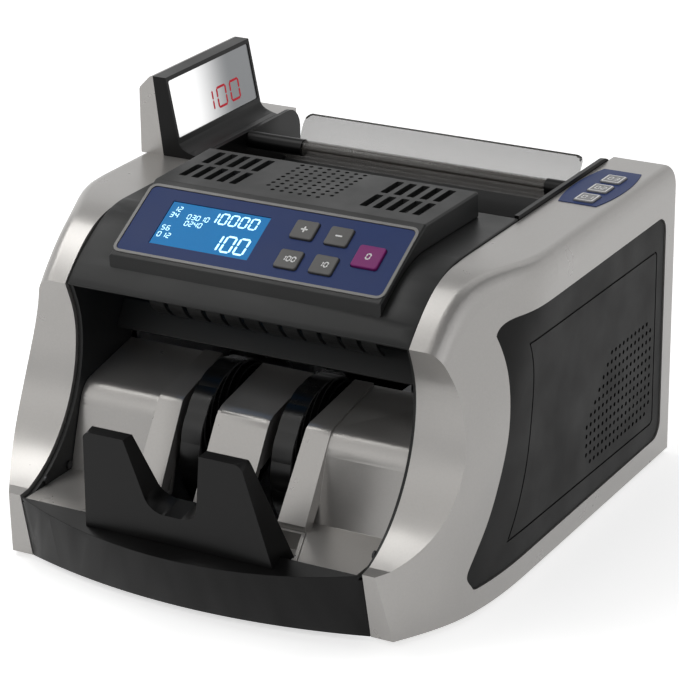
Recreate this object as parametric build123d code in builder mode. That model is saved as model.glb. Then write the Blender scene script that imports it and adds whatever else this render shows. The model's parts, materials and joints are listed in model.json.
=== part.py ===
from build123d import *
from math import atan2, cos, hypot, sin, sqrt
import os

# Banknote counting machine. Millimetres, +Z up, +X to the machine's right, the user stands at -Y.
# The origin is on the desk under the middle of the machine.
os.makedirs("parts", exist_ok=True)

# Overall size
width = 286.0
depth = 325.6
shell_top = 176.0
foot_height = 3.0
half_width = width / 2
rear = depth / 2


def back(distance):
    """Y of a point that lies this far behind the foremost plane of the machine."""
    return distance - depth / 2


# Walls and fits
skin = 2.5
shell_wall = 4.4
sheet = 2.0
gap = 0.3
running = 0.05
press = 0.02
bay_half = 104.3
trim_half = bay_half - 0.4
wall_inner = bay_half - 2.9
frame_inner = bay_half - 5.8
frame_outer = frame_inner + sheet
plate_half = bay_half - 3.3

# Side shells, seen from the side: distance behind the front, height, and the way each point
# moves when the wall is taken off the inside
toe = (21.9, 42.1, 0.9, -1.0)
crescent_low = (29.6, 43.0, 0.4, -1.0)
crescent_bend = (60.8, 63.6, 0.6, -0.8)
crescent_waist = (78.2, 95.0, 1.0, -0.25)
crescent_neck = (80.6, 124.0, 1.0, 0.1)
lip = (73.1, 146.4, 1.2, -0.3)
toe_bottom = (30.8, foot_height, 0.8, 1.0)
core = 10.0
# Sections of the shells' outer skin: distance behind the front, how far the side stands in from the
# widest half, height where it starts to lean in, how far the ridge stands in, and the top's height
sections = [
    (4.0, 45.0, 50.0, 51.0, 67.9),
    (22.0, 31.3, 55.5, 38.2, 88.6),
    (40.0, 20.2, 62.0, 30.0, 108.9),
    (57.0, 11.6, 68.6, 25.3, 128.1),
    (73.1, 6.0, 76.0, 22.3, 146.4),
    (88.0, 3.0, 85.8, 20.8, 160.6),
    (103.0, 1.2, 98.8, 18.7, 170.3),
    (118.0, 0.3, 115.0, 14.6, 174.7),
    (134.0, 0.0, 131.5, 7.8, 175.9),
    (151.0, 0.0, 144.5, 1.8, shell_top),
    (168.0, 0.0, 152.0, 0.0, shell_top),
]
shoulder_foot = 18.0
ridge_top = 7.5
ridge_side = 12.0


def envelope(inset):
    """The right half of the outer body, shrunk by inset, before the crescent is cut."""
    with BuildPart() as body:
        for distance, side_in, lean_start, ridge_in, top_height in sections:
            side = half_width - side_in - inset
            waist = Vector(side, lean_start)
            ridge = Vector(half_width - ridge_in - inset, top_height - inset)
            lean = waist - ridge
            rounding = lean.normalized() * min(ridge_side, 0.5 * lean.length)
            top_edge = ridge - Vector(ridge_top, 0)
            with BuildSketch(Plane.XZ.offset(-back(distance))):
                with BuildLine():
                    Line((core, 0), (side, 0))
                    Line((side, 0), (side, lean_start - shoulder_foot))
                    Bezier((side, lean_start - shoulder_foot), waist, waist - lean * 0.35)
                    Line(waist - lean * 0.35, ridge + rounding)
                    Bezier(ridge + rounding, ridge, top_edge)
                    Line(top_edge, (core, ridge.Y))
                    Line((core, ridge.Y), (core, 0))
                make_face()
        loft()
        extrude(body.faces().sort_by(Axis.Y)[-1], amount=rear - inset - back(sections[-1][0]))
    return body.part


def side_profile(start, inset):
    """The side view of a shell, drawn on the plane x = start and shrunk by inset."""

    def place(point):
        return (back(point[0]) + point[2] * inset, point[1] + point[3] * inset)

    above = shell_top + 10
    with BuildSketch(Plane.YZ.offset(start)) as profile:
        with BuildLine():
            Line(place(toe), place(crescent_low))
            Spline(place(crescent_low), place(crescent_bend), place(crescent_waist),
                   place(crescent_neck), place(lip), tangents=((1, 0.35), (-0.42, 1)))
            Polyline(place(lip), (place(lip)[0], above), (rear - inset, above),
                     (rear - inset, foot_height + inset), place(toe_bottom), place(toe))
        make_face()
    return profile.sketch


# Side panels: a dark plate let into each shell
panel_pocket = 3.0
panel_sink = 0.8
panel_seat = 0.1
panel_rear = rear - 12.3
panel_low = 15.6
panel_top = 151.0
panel_crown = 130.0
panel_corner = 10.0
panel_fit = 0.4
# front edge of the panel from its upper tip to its foot, with the way each point moves inwards
panel_front = [
    (113.4, 144.8, 1.0, -0.4),
    (116.0, 127.6, 1.0, 0.0),
    (114.6, 108.0, 1.0, -0.1),
    (110.4, 88.0, 0.95, -0.3),
    (102.4, 68.9, 0.88, -0.48),
    (91.1, 49.3, 0.84, -0.54),
    (77.1, 30.8, 0.84, -0.54),
    (74.5, 24.4, 1.0, 0.0),
    (78.4, 18.2, 0.6, 0.8),
    (86.0, panel_low, 0.0, 1.0),
]
# front edge of the bead groove from its upper to its lower corner, and its heights at the rear
bead_front = [
    (137.0, 134.6, 1.1, -1.0),
    (141.0, 116.1, 1.0, 0.0),
    (139.4, 94.3, 0.97, -0.2),
    (131.8, 62.0, 0.9, -0.4),
    (121.4, 42.1, 0.85, -0.5),
    (112.3, 30.2, 2.1, 1.0),
]
bead_rear = rear - 22.2
bead_heights = (26.6, 132.8)
bead_corner = 4.0


def moved_in(points, inset):
    """Side view points moved inwards by inset, each in its own direction."""
    return [(back(point[0]) + point[2] * inset, point[1] + point[3] * inset) for point in points]


def panel_outline(start, inset):
    """The side panel: straight top, rear and foot, and a front edge that follows the crescent."""
    edge = moved_in(panel_front, inset)
    crown = (back(panel_crown), panel_top - inset)
    with BuildSketch(Plane.YZ.offset(start)) as outline:
        with BuildLine():
            Spline(*edge, tangents=((0.28, -1), (1, 0)))
            FilletPolyline(edge[-1], (panel_rear - inset, edge[-1][1]),
                           (panel_rear - inset, crown[1]), crown, radius=panel_corner - inset)
            Bezier(crown, (edge[0][0] + 3.2, crown[1]), edge[0])
        make_face()
    return outline


def bead_outline(start, inset):
    """The outer or, moved in, the inner line of the groove in the side panel."""
    edge = moved_in(bead_front, inset)
    far = bead_rear - inset
    with BuildSketch(Plane.YZ.offset(start)) as outline:
        with BuildLine():
            Spline(*edge, tangents=((0.34, -1), (-0.62, -0.79)))
            FilletPolyline(edge[-1], (far, bead_heights[0] + inset),
                           (far, bead_heights[1] - inset), edge[0], radius=bead_corner - inset)
        make_face()
    return outline


# Hood over the throat, and the top behind it
hood_top = 177.2
hood_wall = 2.5
hood_rear = back(200.8)
hood_lip = (74.0, 146.2)
hood_lip_depth = 1.2
hood_brow = (101.0, 167.8)
hood_flat = 133.0
# front edge, rear edge and width of the opening under the control housing
hood_opening = (87.0, 191.0, 156.0)

# Control housing: a box with a sloped front, seated on the hood
housing_front = (83.9, 163.3)
housing_crest = (133.2, 191.4)
housing_back = (192.6, 191.8)
housing_heel = (195.8, 170.0)
housing_half_front = 82.3
housing_half_rear = 84.2
housing_edge = 1.2
slope = atan2(housing_crest[1] - housing_front[1], housing_crest[0] - housing_front[0])
panel_plane = Plane(
    origin=(0, back(housing_front[0]), housing_front[1]),
    x_dir=(1, 0, 0),
    z_dir=(0, -sin(slope), cos(slope)),
)
vent_slot = (4.6, 20.0)
vent_corner = 0.8
vent_pitch = 7.9
vent_centres = (-57.0, 55.2)
vent_rows = (154.3, 178.0)
hole_diameter = 2.6
hole_pitch = (5.6, 5.34)
hole_columns = (6, 8, 8, 8, 8, 8, 8, 8, 8)
hole_field = (-2.6, 167.3)

# Operator panel: places across and up the slope
label_size = (161.0, 46.4)
label_centre = (-0.5, 28.2)
label_thickness = 0.4
label_corner = 3.0
lcd_window = (61.0, 31.0)
lcd_centre = (-33.8, 28.1)
lcd_depth = 5.0
key_size = (13.6, 12.6)
reset_size = (15.4, 14.8)
key_places = {
    "plus_key": (19.4, 38.6, key_size),
    "minus_key": (40.3, 38.2, key_size),
    "batch_key": (19.9, 17.6, key_size),
    "add_key": (40.6, 18.0, key_size),
    "reset_key": (62.4, 28.2, reset_size),
}
key_corner = 1.6
key_fit = 0.3
key_flange = 1.2
flange_thickness = 1.2
key_rise = 1.4
key_travel = 0.8
switch_gap = 0.05
switch_body = (6.0, 6.0, 3.5)
board_thickness = 1.6

# Function keys on the right shell's top
function_plate = (30.4, 62.0)
function_centre = (half_width - 22.6, rear - 54.3)
function_row = (half_width - 20.9, rear - 57.9)
function_pitch = 17.7
function_key = (11.8, 12.8)
label_bow = 3.9

# Customer display on the left shell
display_front = back(209.8)
display_rear = back(302.8)
display_back = -141.0
display_shoulder = 214.8
display_crown = (-132.4, 222.5)
display_split = ((-131.8, 222.5), (-126.0, shell_top))
display_brow = (-123.2, 222.5)
display_sill = (-115.6, 184.6)
display_skirt = (-bay_half, 178.4)
window_sink = 0.6
window_margin = 2.2
window_height = 33.6
display_wall = 2.4

# Hopper
wall_top = 178.5
wall_low = 128.0
wall_corner = 14.0
slope_top = (201.1, 177.2)
slope_low = (238.0, 152.0)
feed_plate_low = (247.0, 132.5)
feed_plate_high = (318.0, 154.5)
feed_plate_rear = (325.2, 155.6)
plate_thickness = 2.0
window_size = (34.0, 30.0)
cover_pivot = (265.8, 173.6)
cover_tube = 4.6
cover_rod = 1.5
cover_half = 90.5
cap_radius = 5.0
cap_gap = 0.8
tube_ends = (-64.0, 89.8)
sheet_corner = 5.0
cover_bead = (314.2, 176.9, 1.1)

# Rollers and shafts: distance behind the front, height, roller radius
shaft_radius = 4.0
pickup = (266.7, 122.6, 17.0)
feed = (224.0, 116.0, 20.0)
count = (172.0, 104.0, 18.0)
pressure = (172.0, 129.5, 7.0)
stacking = (114.8, 58.0, 42.0)
roller_centre = 30.0
roller_width = 26.0
wheel_centre = 28.0
wheel_width = 12.0
wheel_hub = 9.0
finger_count = 16
finger_thickness = 1.2
shaft_end = frame_outer + 2.1
motor = (245.0, 52.0, 23.0)
motor_length = 62.0
motor_shaft = 3.0

# Belt drive on the left: the planes stand side by side outside the left frame
belt_plane = (-bay_half - 2.7, -bay_half - 9.7, -bay_half - 16.7)
belt_thickness = 1.2
belt_width = 4.0
belt_gap = 0.3
drum_width = 5.0
rim_width = 0.7
rim_rise = 1.7
motor_drum = 9.0
count_drum = 14.0
count_feed_drum = 12.0
feed_drum = 16.0
feed_pickup_drum = 12.0
pickup_drum = 12.0
count_stack_drum = 9.0
stack_drum = 22.0

# Stacker: side view of the tray's floor, backrest and shelf
floor_top = 41.0
tray_front = 22.4
tray_heel = (66.5, floor_top)
tray_bend = ((77.6, 75.5), (81.4, 83.1), (84.8, 86.3), (91.5, 88.4))
tray_end = (131.0, 96.2)
tray_drop = (2.0, -2.2)
slope_foot = (54.3, floor_top)
slope_crest = (83.3, 87.0)
crest_radius = 14.0
rib_radius = 8.0
slot_inner = 16.0
slot_outer_low = 36.4
slot_outer_high = 41.6
rib_outer = 53.0
flange_sheet = 2.0
strip_front = 44.8
strip_half = 36.0
recess_top = 31.0
recess_foot = 38.0
recess_skin = 2.0
recess_half_front = 66.5
recess_half_rear = 53.8

# Bumper and note stop
bumper_corner_low = (trim_half, 30.8)
bumper_corner_high = (trim_half, 21.9)
bumper_low = 14.6
bumper_high = 2.4
bumper_top = 42.0
bumper_back = 33.0
bumper_slope = ((22.0, 41.3), (4.8, 34.0))
stop_foot = (14.5, 34.0)
stop_head = (0.0, 99.0)
stop_half_low = 58.0
stop_half_high = 47.2
stop_gap_low = 14.0
stop_gap_high = 23.1
stop_gap_bottom = 56.5
stop_skin = 3.0
stop_back_low = 36.6
stop_back_high = 8.5

# Frame, base and rear
base_thickness = 3.0
base_top = foot_height + base_thickness
base_front = 33.3
foot_radius = 9.0
foot_half = 80.0
foot_rows = (60.0, 297.0)
rear_cover_top = 152.2
rear_cover_face = back(323.1)
rear_cover_front = rear_cover_face - skin
screw_head = (2.4, 1.2)
wall_screws = [(42.2, 43.7), (64.3, 44.1)]
rear_screws = [(side * 96.0, height) for side in (-1, 1) for height in (14.0, 80.0, 146.0)]
foot_stem = 2.5
rear_vent = (3.0, 26.0)
rear_vent_pitch = (8.0, 32.0)
rear_vent_centre = (-30.0, 92.0)

# Mains inlet: flange, body, socket and rocker well
inlet_centre = (62.0, 30.0)
inlet_flange = (58.0, 32.0)
inlet_body = (46.0, 26.0)
inlet_lip = 2.0
inlet_depth = 20.0
socket_centre = 9.0
socket_size = (24.0, 17.0)
socket_depth = 14.0
rocker_centre = -14.0
rocker_size = (12.0, 18.0)
rocker_fit = 0.4
rocker_well = 9.0
rocker_sink = 1.4
rocker_dish = 1.0
rocker_axis = (320.8, inlet_centre[1])
rocker_pin = 1.0
rocker_pin_length = 1.2


def side_face(*points):
    """Corners given as distance behind the front and height, in the side view."""
    return [(back(distance), height) for distance, height in points]


def slab(start, end, points):
    """A plate drawn in the side view that runs across the machine from x = start to x = end."""
    with BuildPart() as plate:
        with BuildSketch(Plane.YZ.offset(start)):
            with BuildLine():
                Polyline(*side_face(*points), close=True)
            make_face()
        extrude(amount=end - start)
    return plate.part


def bar(centre, radius, start, end):
    """A round bar across the machine."""
    with BuildPart() as rod:
        with BuildSketch(Plane.YZ.offset(start)):
            with Locations((back(centre[0]), centre[1])):
                Circle(radius)
        extrude(amount=end - start)
    return rod.part


def bent_slab(start, end, line, radius, under):
    """A plate like slab, whose upper line has rounded bends and whose underside is straight."""
    with BuildPart() as plate:
        with BuildSketch(Plane.YZ.offset(start)):
            with BuildLine():
                FilletPolyline(*side_face(*line), radius=radius)
                Polyline(*side_face(line[-1], *under))
            make_face()
        extrude(amount=end - start)
    return plate.part


def save(piece, name):
    piece.label = name
    export_step(piece, f"parts/{name}.step")


def mirrored(piece, name):
    with BuildPart() as twin:
        mirror(piece, about=Plane.YZ)
    save(twin.part, name)
    return twin.part


# Side shells
outer_body = envelope(0)
inner_body = envelope(shell_wall)
pocket_floor = envelope(panel_pocket)
shell_side = side_profile(bay_half, 0)
core_side = side_profile(bay_half - 4, shell_wall)
pocket_side = panel_outline(bay_half + 1, 0).sketch

with BuildPart() as shell_skin:
    extrude(shell_side, amount=half_width - bay_half + 2)
    add(outer_body, mode=Mode.INTERSECT)
with BuildPart() as shell_core:
    extrude(core_side, amount=half_width - bay_half + 4)
    add(inner_body, mode=Mode.INTERSECT)
with BuildPart() as panel_recess:
    extrude(pocket_side, amount=half_width - bay_half + 4)
    add(pocket_floor, mode=Mode.SUBTRACT)
with BuildPart() as bare_shell:
    add(shell_skin.part)
    add(shell_core.part, mode=Mode.SUBTRACT)
    add(panel_recess.part, mode=Mode.SUBTRACT)
with BuildPart() as left_shell:
    mirror(bare_shell.part, about=Plane.YZ)
save(left_shell.part, "left_shell")

function_places = [(function_row[0], function_row[1] + step * function_pitch) for step in (-1, 0, 1)]
with BuildPart() as right_shell:
    add(bare_shell.part)
    with BuildSketch(Plane.XY.offset(shell_top)):
        with Locations(*function_places):
            RectangleRounded(function_key[0] + 2 * key_fit, function_key[1] + 2 * key_fit, key_corner)
    extrude(amount=-shell_wall - 1, mode=Mode.SUBTRACT)
save(right_shell.part, "right_shell")

# Side panels with a bead groove and a field of vent holes, cut off by a slanting edge at the upper front
panel_hole = 2.6
panel_hole_pitch = (5.35, 5.53)
panel_hole_start = (rear - 114.6, 36.7)
# lowest and highest row in every column of holes
panel_hole_columns = [(1, 4), (0, 5), (0, 6), (0, 7), (0, 8), (0, 9)] + [(0, 10)] * 10 + [(1, 9)]
bead_width = 1.2
bead_depth = 0.7
panel_hole_places = [
    (panel_hole_start[0] + column * panel_hole_pitch[0], panel_hole_start[1] + row * panel_hole_pitch[1])
    for column, (lowest, highest) in enumerate(panel_hole_columns)
    for row in range(lowest, highest + 1)
]
bead_outer = bead_outline(bay_half + 1, 0)
bead_inner = bead_outline(bay_half + 1, bead_width)
panel_side = panel_outline(bay_half + 1, panel_fit)
panel_seam = back(sections[-1][0])
with BuildPart() as bead:
    with BuildSketch(Plane.YZ.offset(bay_half + 1)):
        add(bead_outer.sketch_local)
        add(bead_inner.sketch_local, mode=Mode.SUBTRACT)
    extrude(amount=half_width - bay_half + 4)
    add(envelope(panel_sink + bead_depth), mode=Mode.SUBTRACT)
with BuildPart() as panel_bow:
    extrude(panel_side.sketch, amount=half_width - bay_half + 4)
    add(envelope(panel_sink), mode=Mode.INTERSECT)
    add(envelope(panel_pocket - panel_seat), mode=Mode.SUBTRACT)
    with Locations((half_width, panel_seam, shell_top / 2)):
        Box(width, depth, width, align=(Align.CENTER, Align.MIN, Align.CENTER), mode=Mode.SUBTRACT)
    add(bead.part, mode=Mode.SUBTRACT)
with BuildPart() as panel_flat:
    with BuildSketch(Plane.YZ.offset(half_width - panel_pocket + panel_seat)):
        add(panel_side.sketch_local)
        with Locations((panel_seam, shell_top / 2)):
            Rectangle(depth, width, align=(Align.MAX, Align.CENTER), mode=Mode.SUBTRACT)
        with Locations(*panel_hole_places):
            Circle(panel_hole / 2, mode=Mode.SUBTRACT)
    extrude(amount=panel_pocket - panel_seat - panel_sink)
    with BuildSketch(Plane.YZ.offset(half_width - panel_sink)):
        add(bead_outer.sketch_local)
        add(bead_inner.sketch_local, mode=Mode.SUBTRACT)
    extrude(amount=-bead_depth, mode=Mode.SUBTRACT)
right_side_panel = panel_flat.part + panel_bow.part
save(right_side_panel, "right_side_panel")
mirrored(right_side_panel, "left_side_panel")


# Hood: follows the brow of the shells, flat behind it, with a rolled lip over the throat
def hood_curve(drop):
    """The hood's outer line lowered by drop, from the lip to the rear seam."""
    lip_point = (back(hood_lip[0]) + 2.2 * drop, hood_lip[1] - drop * 0.3)
    brow_point = (back(hood_brow[0]) + 0.55 * drop, hood_brow[1] - 0.95 * drop)
    flat_point = (back(hood_flat), hood_top - drop)
    Spline(lip_point, brow_point, flat_point, tangents=((0.66, 0.75), (1, 0)))
    Line(flat_point, (hood_rear, hood_top - drop))


with BuildPart() as under_hood:
    with BuildSketch(Plane.YZ):
        with BuildLine():
            hood_curve(0)
            Polyline((hood_rear, hood_top), (hood_rear, 100), (back(hood_lip[0]), 100),
                     (back(hood_lip[0]), hood_lip[1]))
        make_face()
    extrude(amount=half_width, both=True)
with BuildPart() as hood:
    with BuildSketch(Plane.YZ):
        with BuildLine():
            hood_curve(0)
            hood_curve(hood_wall)
            Line((hood_rear, hood_top), (hood_rear, hood_top - hood_wall))
            Polyline(
                (back(hood_lip[0]), hood_lip[1]),
                (back(hood_lip[0] + hood_lip_depth), hood_lip[1] - hood_lip_depth),
                (back(hood_lip[0]) + 2.2 * hood_wall, hood_lip[1] - 0.3 * hood_wall),
            )
        make_face()
    extrude(amount=trim_half, both=True)
    with BuildSketch(Plane.XY.offset(hood_top + 1)):
        with Locations((0, back((hood_opening[0] + hood_opening[1]) / 2))):
            Rectangle(hood_opening[2], hood_opening[1] - hood_opening[0])
    extrude(amount=-40, mode=Mode.SUBTRACT)
save(hood.part, "hood")


# Control housing
def housing_block(inset):
    """The control housing's outer solid, or the space inside it when inset by its wall."""
    front_half = housing_half_front - inset
    rear_half = housing_half_rear - inset
    with BuildPart() as block:
        with BuildSketch(Plane.YZ):
            with BuildLine():
                lower = (back(housing_front[0] + 0.6) + inset, 140.0)
                drop = inset * (1 - sin(slope)) / cos(slope)
                nose = (back(housing_front[0]) + inset, housing_front[1] - drop)
                run = inset * (1 - cos(slope)) / sin(slope)
                crest = (back(housing_crest[0]) + run, housing_crest[1] - inset)
                top = (back(housing_back[0]) - inset, housing_back[1] - inset)
                heel = (back(housing_heel[0]) - inset, housing_heel[1] - 30)
                Polyline(lower, nose, crest, top, heel, close=True)
            make_face()
        extrude(amount=rear_half, both=True)
        with BuildSketch(Plane.XY):
            with BuildLine():
                near = back(housing_front[0] - 2)
                far = back(housing_heel[0] + 2)
                Polyline((-front_half, near), (front_half, near), (rear_half, far), (-rear_half, far),
                         close=True)
            make_face()
        extrude(amount=shell_top + 40, mode=Mode.INTERSECT)
    return block.part


housing_outer = housing_block(0)
housing_inner = housing_block(skin)
vent_places = [
    (centre + column * vent_pitch, back(row))
    for centre in vent_centres
    for row in vent_rows
    for column in (-2, -1, 0, 1, 2)
]
hole_places = [
    (hole_field[0] + (column - (count_in_row - 1) / 2) * hole_pitch[0],
     back(hole_field[1]) + (row - 4) * hole_pitch[1])
    for row, count_in_row in enumerate(hole_columns)
    for column in range(count_in_row)
]
with BuildPart() as control_housing:
    add(housing_outer)
    add(under_hood.part, mode=Mode.SUBTRACT)
    upper = control_housing.edges().filter_by(lambda edge: edge.center().Z > housing_front[1] - 2)
    fillet(upper, radius=housing_edge)
    add(housing_inner, mode=Mode.SUBTRACT)
    with BuildSketch(Plane.XY.offset(housing_back[1] - 8)):
        with Locations(*vent_places):
            RectangleRounded(*vent_slot, vent_corner)
        with Locations(*hole_places):
            Circle(hole_diameter / 2)
    extrude(amount=20, mode=Mode.SUBTRACT)
    with BuildSketch(panel_plane.offset(-skin - 2)):
        with Locations(lcd_centre):
            Rectangle(*lcd_window)
        for across, up, size in key_places.values():
            with Locations((across, up)):
                RectangleRounded(size[0] + 2 * key_fit, size[1] + 2 * key_fit, key_corner)
    extrude(amount=skin + 4, mode=Mode.SUBTRACT)
    with BuildSketch(panel_plane.offset(-label_thickness)):
        with Locations(label_centre):
            RectangleRounded(label_size[0] + 0.4, label_size[1] + 0.4, label_corner)
    extrude(amount=4, mode=Mode.SUBTRACT)
save(control_housing.part, "control_housing")

with BuildPart() as panel_label:
    with BuildSketch(panel_plane.offset(-label_thickness)):
        with Locations(label_centre):
            RectangleRounded(*label_size, label_corner)
        with Locations(lcd_centre):
            Rectangle(*lcd_window, mode=Mode.SUBTRACT)
        for across, up, size in key_places.values():
            with Locations((across, up)):
                RectangleRounded(size[0] + 2 * key_fit, size[1] + 2 * key_fit, key_corner,
                                 mode=Mode.SUBTRACT)
    extrude(amount=label_thickness)
save(panel_label.part, "panel_label")

with BuildPart() as lcd_module:
    with BuildSketch(panel_plane.offset(-label_thickness)):
        with Locations(lcd_centre):
            Rectangle(lcd_window[0] - 0.4, lcd_window[1] - 0.4)
    extrude(amount=-skin + label_thickness)
    with BuildSketch(panel_plane.offset(-skin - 0.1)):
        with Locations(lcd_centre):
            Rectangle(lcd_window[0] + 6, lcd_window[1] + 7)
    extrude(amount=-lcd_depth)
    with BuildSketch(panel_plane.offset(-skin - 0.1)):
        with Locations(lcd_centre):
            Rectangle(lcd_window[0] - 0.4, lcd_window[1] - 0.4)
    extrude(amount=0.2)
save(lcd_module.part, "lcd_module")

# Keys: a cap through the panel, a flange behind it and a switch below
switch_top = -skin - switch_gap - flange_thickness - key_travel - switch_gap
board_top = switch_top - switch_body[2]
for name, (across, up, size) in key_places.items():
    with BuildPart() as key:
        with BuildSketch(panel_plane.offset(-skin - switch_gap - flange_thickness)):
            with Locations((across, up)):
                RectangleRounded(size[0] + 2 * key_flange, size[1] + 2 * key_flange, key_corner)
        extrude(amount=flange_thickness)
        with BuildSketch(panel_plane.offset(-skin - switch_gap)):
            with Locations((across, up)):
                RectangleRounded(*size, key_corner)
        extrude(amount=skin + switch_gap + key_rise)
        crown = key.faces().sort_by(lambda face: (face.center() - panel_plane.origin).dot(
            panel_plane.z_dir))[-1]
        fillet(crown.edges(), radius=0.6)
    save(key.part, name)

with BuildPart() as key_board:
    with BuildSketch(panel_plane.offset(board_top)):
        with Locations((18.0, 28.2)):
            Rectangle(118.0, 42.0)
        with Locations(lcd_centre):
            Rectangle(lcd_window[0] + 7, lcd_window[1] + 8, mode=Mode.SUBTRACT)
    extrude(amount=-board_thickness)
    for across, up, size in key_places.values():
        with BuildSketch(panel_plane.offset(board_top)):
            with Locations((across, up)):
                Rectangle(switch_body[0], switch_body[1])
        extrude(amount=switch_body[2])
    with BuildSketch(panel_plane.offset(board_top)):
        with Locations((8.6, 45.8), (73.0, 45.8), (73.0, 10.4), (8.6, 10.4)):
            Circle(2.4)
    extrude(amount=-board_top - skin)
save(key_board.part, "key_board")


# Function keys, their label and switch board under the right shell's top
with BuildSketch() as label_outline:
    with BuildLine():
        half_x = function_plate[0] / 2
        half_y = function_plate[1] / 2
        waist = half_x - label_bow
        right_bow = ThreePointArc((waist, -half_y), (half_x, 0), (waist, half_y))
        left_bow = ThreePointArc((-waist, half_y), (-half_x, 0), (-waist, -half_y))
        Line(right_bow @ 1, left_bow @ 0)
        Line(left_bow @ 1, right_bow @ 0)
    make_face()
with BuildPart() as function_label:
    with BuildSketch(Plane.XY.offset(shell_top)):
        with Locations(function_centre):
            add(label_outline.sketch)
        with Locations(*function_places):
            RectangleRounded(function_key[0] + 2 * key_fit, function_key[1] + 2 * key_fit, key_corner,
                             mode=Mode.SUBTRACT)
    extrude(amount=label_thickness)
save(function_label.part, "function_label")

function_back = shell_top - shell_wall
function_switch_top = function_back - switch_gap - flange_thickness - key_travel - switch_gap
function_board_top = function_switch_top - switch_body[2]
for index, place in enumerate(function_places):
    with BuildPart() as key:
        with BuildSketch(Plane.XY.offset(function_back - switch_gap - flange_thickness)):
            with Locations(place):
                flange_size = (function_key[0] + 2 * key_flange, function_key[1] + 2 * key_flange)
                RectangleRounded(*flange_size, key_corner)
        extrude(amount=flange_thickness)
        with BuildSketch(Plane.XY.offset(function_back - switch_gap)):
            with Locations(place):
                RectangleRounded(*function_key, key_corner)
        extrude(amount=shell_wall + switch_gap + label_thickness + key_rise - 0.4)
        fillet(key.faces().sort_by(Axis.Z)[-1].edges(), radius=0.5)
    save(key.part, f"function_key_{index + 1}")
with BuildPart() as function_board:
    with BuildSketch(Plane.XY.offset(function_board_top - board_thickness)):
        with Locations(function_row):
            Rectangle(20.0, 76.0)
    extrude(amount=board_thickness)
    with BuildSketch(Plane.XY.offset(function_board_top)):
        with Locations(*function_places):
            Rectangle(switch_body[0], switch_body[1])
    extrude(amount=switch_body[2])
    with BuildSketch(Plane.XY.offset(function_board_top)):
        with Locations(*[(function_row[0], function_row[1] + side * 34.0) for side in (-1, 1)]):
            Circle(2.4)
    extrude(amount=function_back - function_board_top)
save(function_board.part, "function_board")


# Customer display: a silver back and a dark front that leans over the left shell
def display_block(points, inset):
    with BuildPart() as block:
        with BuildSketch(Plane.XZ.offset(-display_front - inset)):
            with BuildLine():
                Polyline(*points, close=True)
            make_face()
        extrude(amount=-(display_rear - display_front - 2 * inset))
    return block.part


lean = atan2(display_sill[0] - display_brow[0], display_brow[1] - display_sill[1])
window_plane = Plane(
    origin=(display_sill[0], (display_front + display_rear) / 2, display_sill[1]),
    x_dir=(0, 1, 0),
    z_dir=(cos(lean), 0, sin(lean)),
)
window_length = display_rear - display_front - 2 * window_margin
window_middle = window_height / 2 + 2.6
back_points = [
    (display_back, shell_top),
    (display_split[1][0], shell_top),
    (display_split[0][0], display_split[0][1]),
    (display_crown[0] - 1.0, display_crown[1]),
    (display_back, display_shoulder),
]
with BuildPart() as display_back_cover:
    add(display_block(back_points, 0))
    ridge = display_back_cover.edges().filter_by(Axis.Y).group_by(Axis.X)[0].sort_by(Axis.Z)[-1:]
    ridge += display_back_cover.edges().filter_by(Axis.Y).group_by(Axis.X)[1]
    fillet(ridge, radius=3.0)
    with BuildSketch(Plane.XZ.offset(-display_front - display_wall)):
        with BuildLine():
            Polyline(
                (display_back + display_wall, shell_top - 1),
                (display_split[1][0] + 1, shell_top - 1),
                (display_split[0][0] + 1, display_split[0][1] - display_wall),
                (display_crown[0], display_crown[1] - display_wall),
                (display_back + display_wall, display_shoulder - 1.5),
                close=True,
            )
        make_face()
    extrude(amount=-(display_rear - display_front - 2 * display_wall), mode=Mode.SUBTRACT)
save(display_back_cover.part, "display_back_cover")
with BuildPart() as display_bezel:
    with BuildSketch(Plane.XZ.offset(-display_front)):
        with BuildLine():
            Line((display_split[1][0] + 0.05, shell_top), (display_split[0][0] + 0.05, display_split[0][1]))
            Line((display_split[0][0] + 0.05, display_split[0][1]), display_brow)
            Line(display_brow, display_sill)
            Spline(display_sill, (display_sill[0] + 4.0, 180.6), display_skirt,
                   tangents=((0.35, -1), (1, -0.22)))
            Line(display_skirt, (display_skirt[0], shell_top))
            Line((display_skirt[0], shell_top), (display_split[1][0] + 0.05, shell_top))
        make_face()
    extrude(amount=-(display_rear - display_front))
    with BuildSketch(Plane.XZ.offset(-display_front - display_wall)):
        with BuildLine():
            Polyline(
                (display_split[1][0] - 1, shell_top - 1),
                (display_split[0][0] - 1, display_split[0][1] - display_wall),
                (display_brow[0] - display_wall, display_brow[1] - display_wall),
                (display_sill[0] - display_wall, display_sill[1] - 2.0),
                (display_sill[0] - 1.0, shell_top - 1),
                close=True,
            )
        make_face()
    extrude(amount=-(display_rear - display_front - 2 * display_wall), mode=Mode.SUBTRACT)
    with BuildSketch(window_plane.offset(1)):
        with Locations((0, window_middle)):
            RectangleRounded(window_length, window_height, 1.2)
    extrude(amount=-6, mode=Mode.SUBTRACT)
save(display_bezel.part, "display_bezel")
with BuildPart() as display_window:
    with BuildSketch(window_plane.offset(-window_sink)):
        with Locations((0, window_middle)):
            RectangleRounded(window_length - 0.4, window_height - 0.4, 1.0)
    extrude(amount=-(display_wall - window_sink))
    with BuildSketch(window_plane.offset(-display_wall - 0.1)):
        with Locations((0, window_middle)):
            Rectangle(window_length - 4, window_height - 1.0)
    extrude(amount=-1.0)
    with BuildSketch(window_plane.offset(-display_wall - 0.1)):
        with Locations((0, window_middle)):
            Rectangle(window_length - 4, window_height - 1.4)
    extrude(amount=0.2)
save(display_window.part, "display_window")
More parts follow.
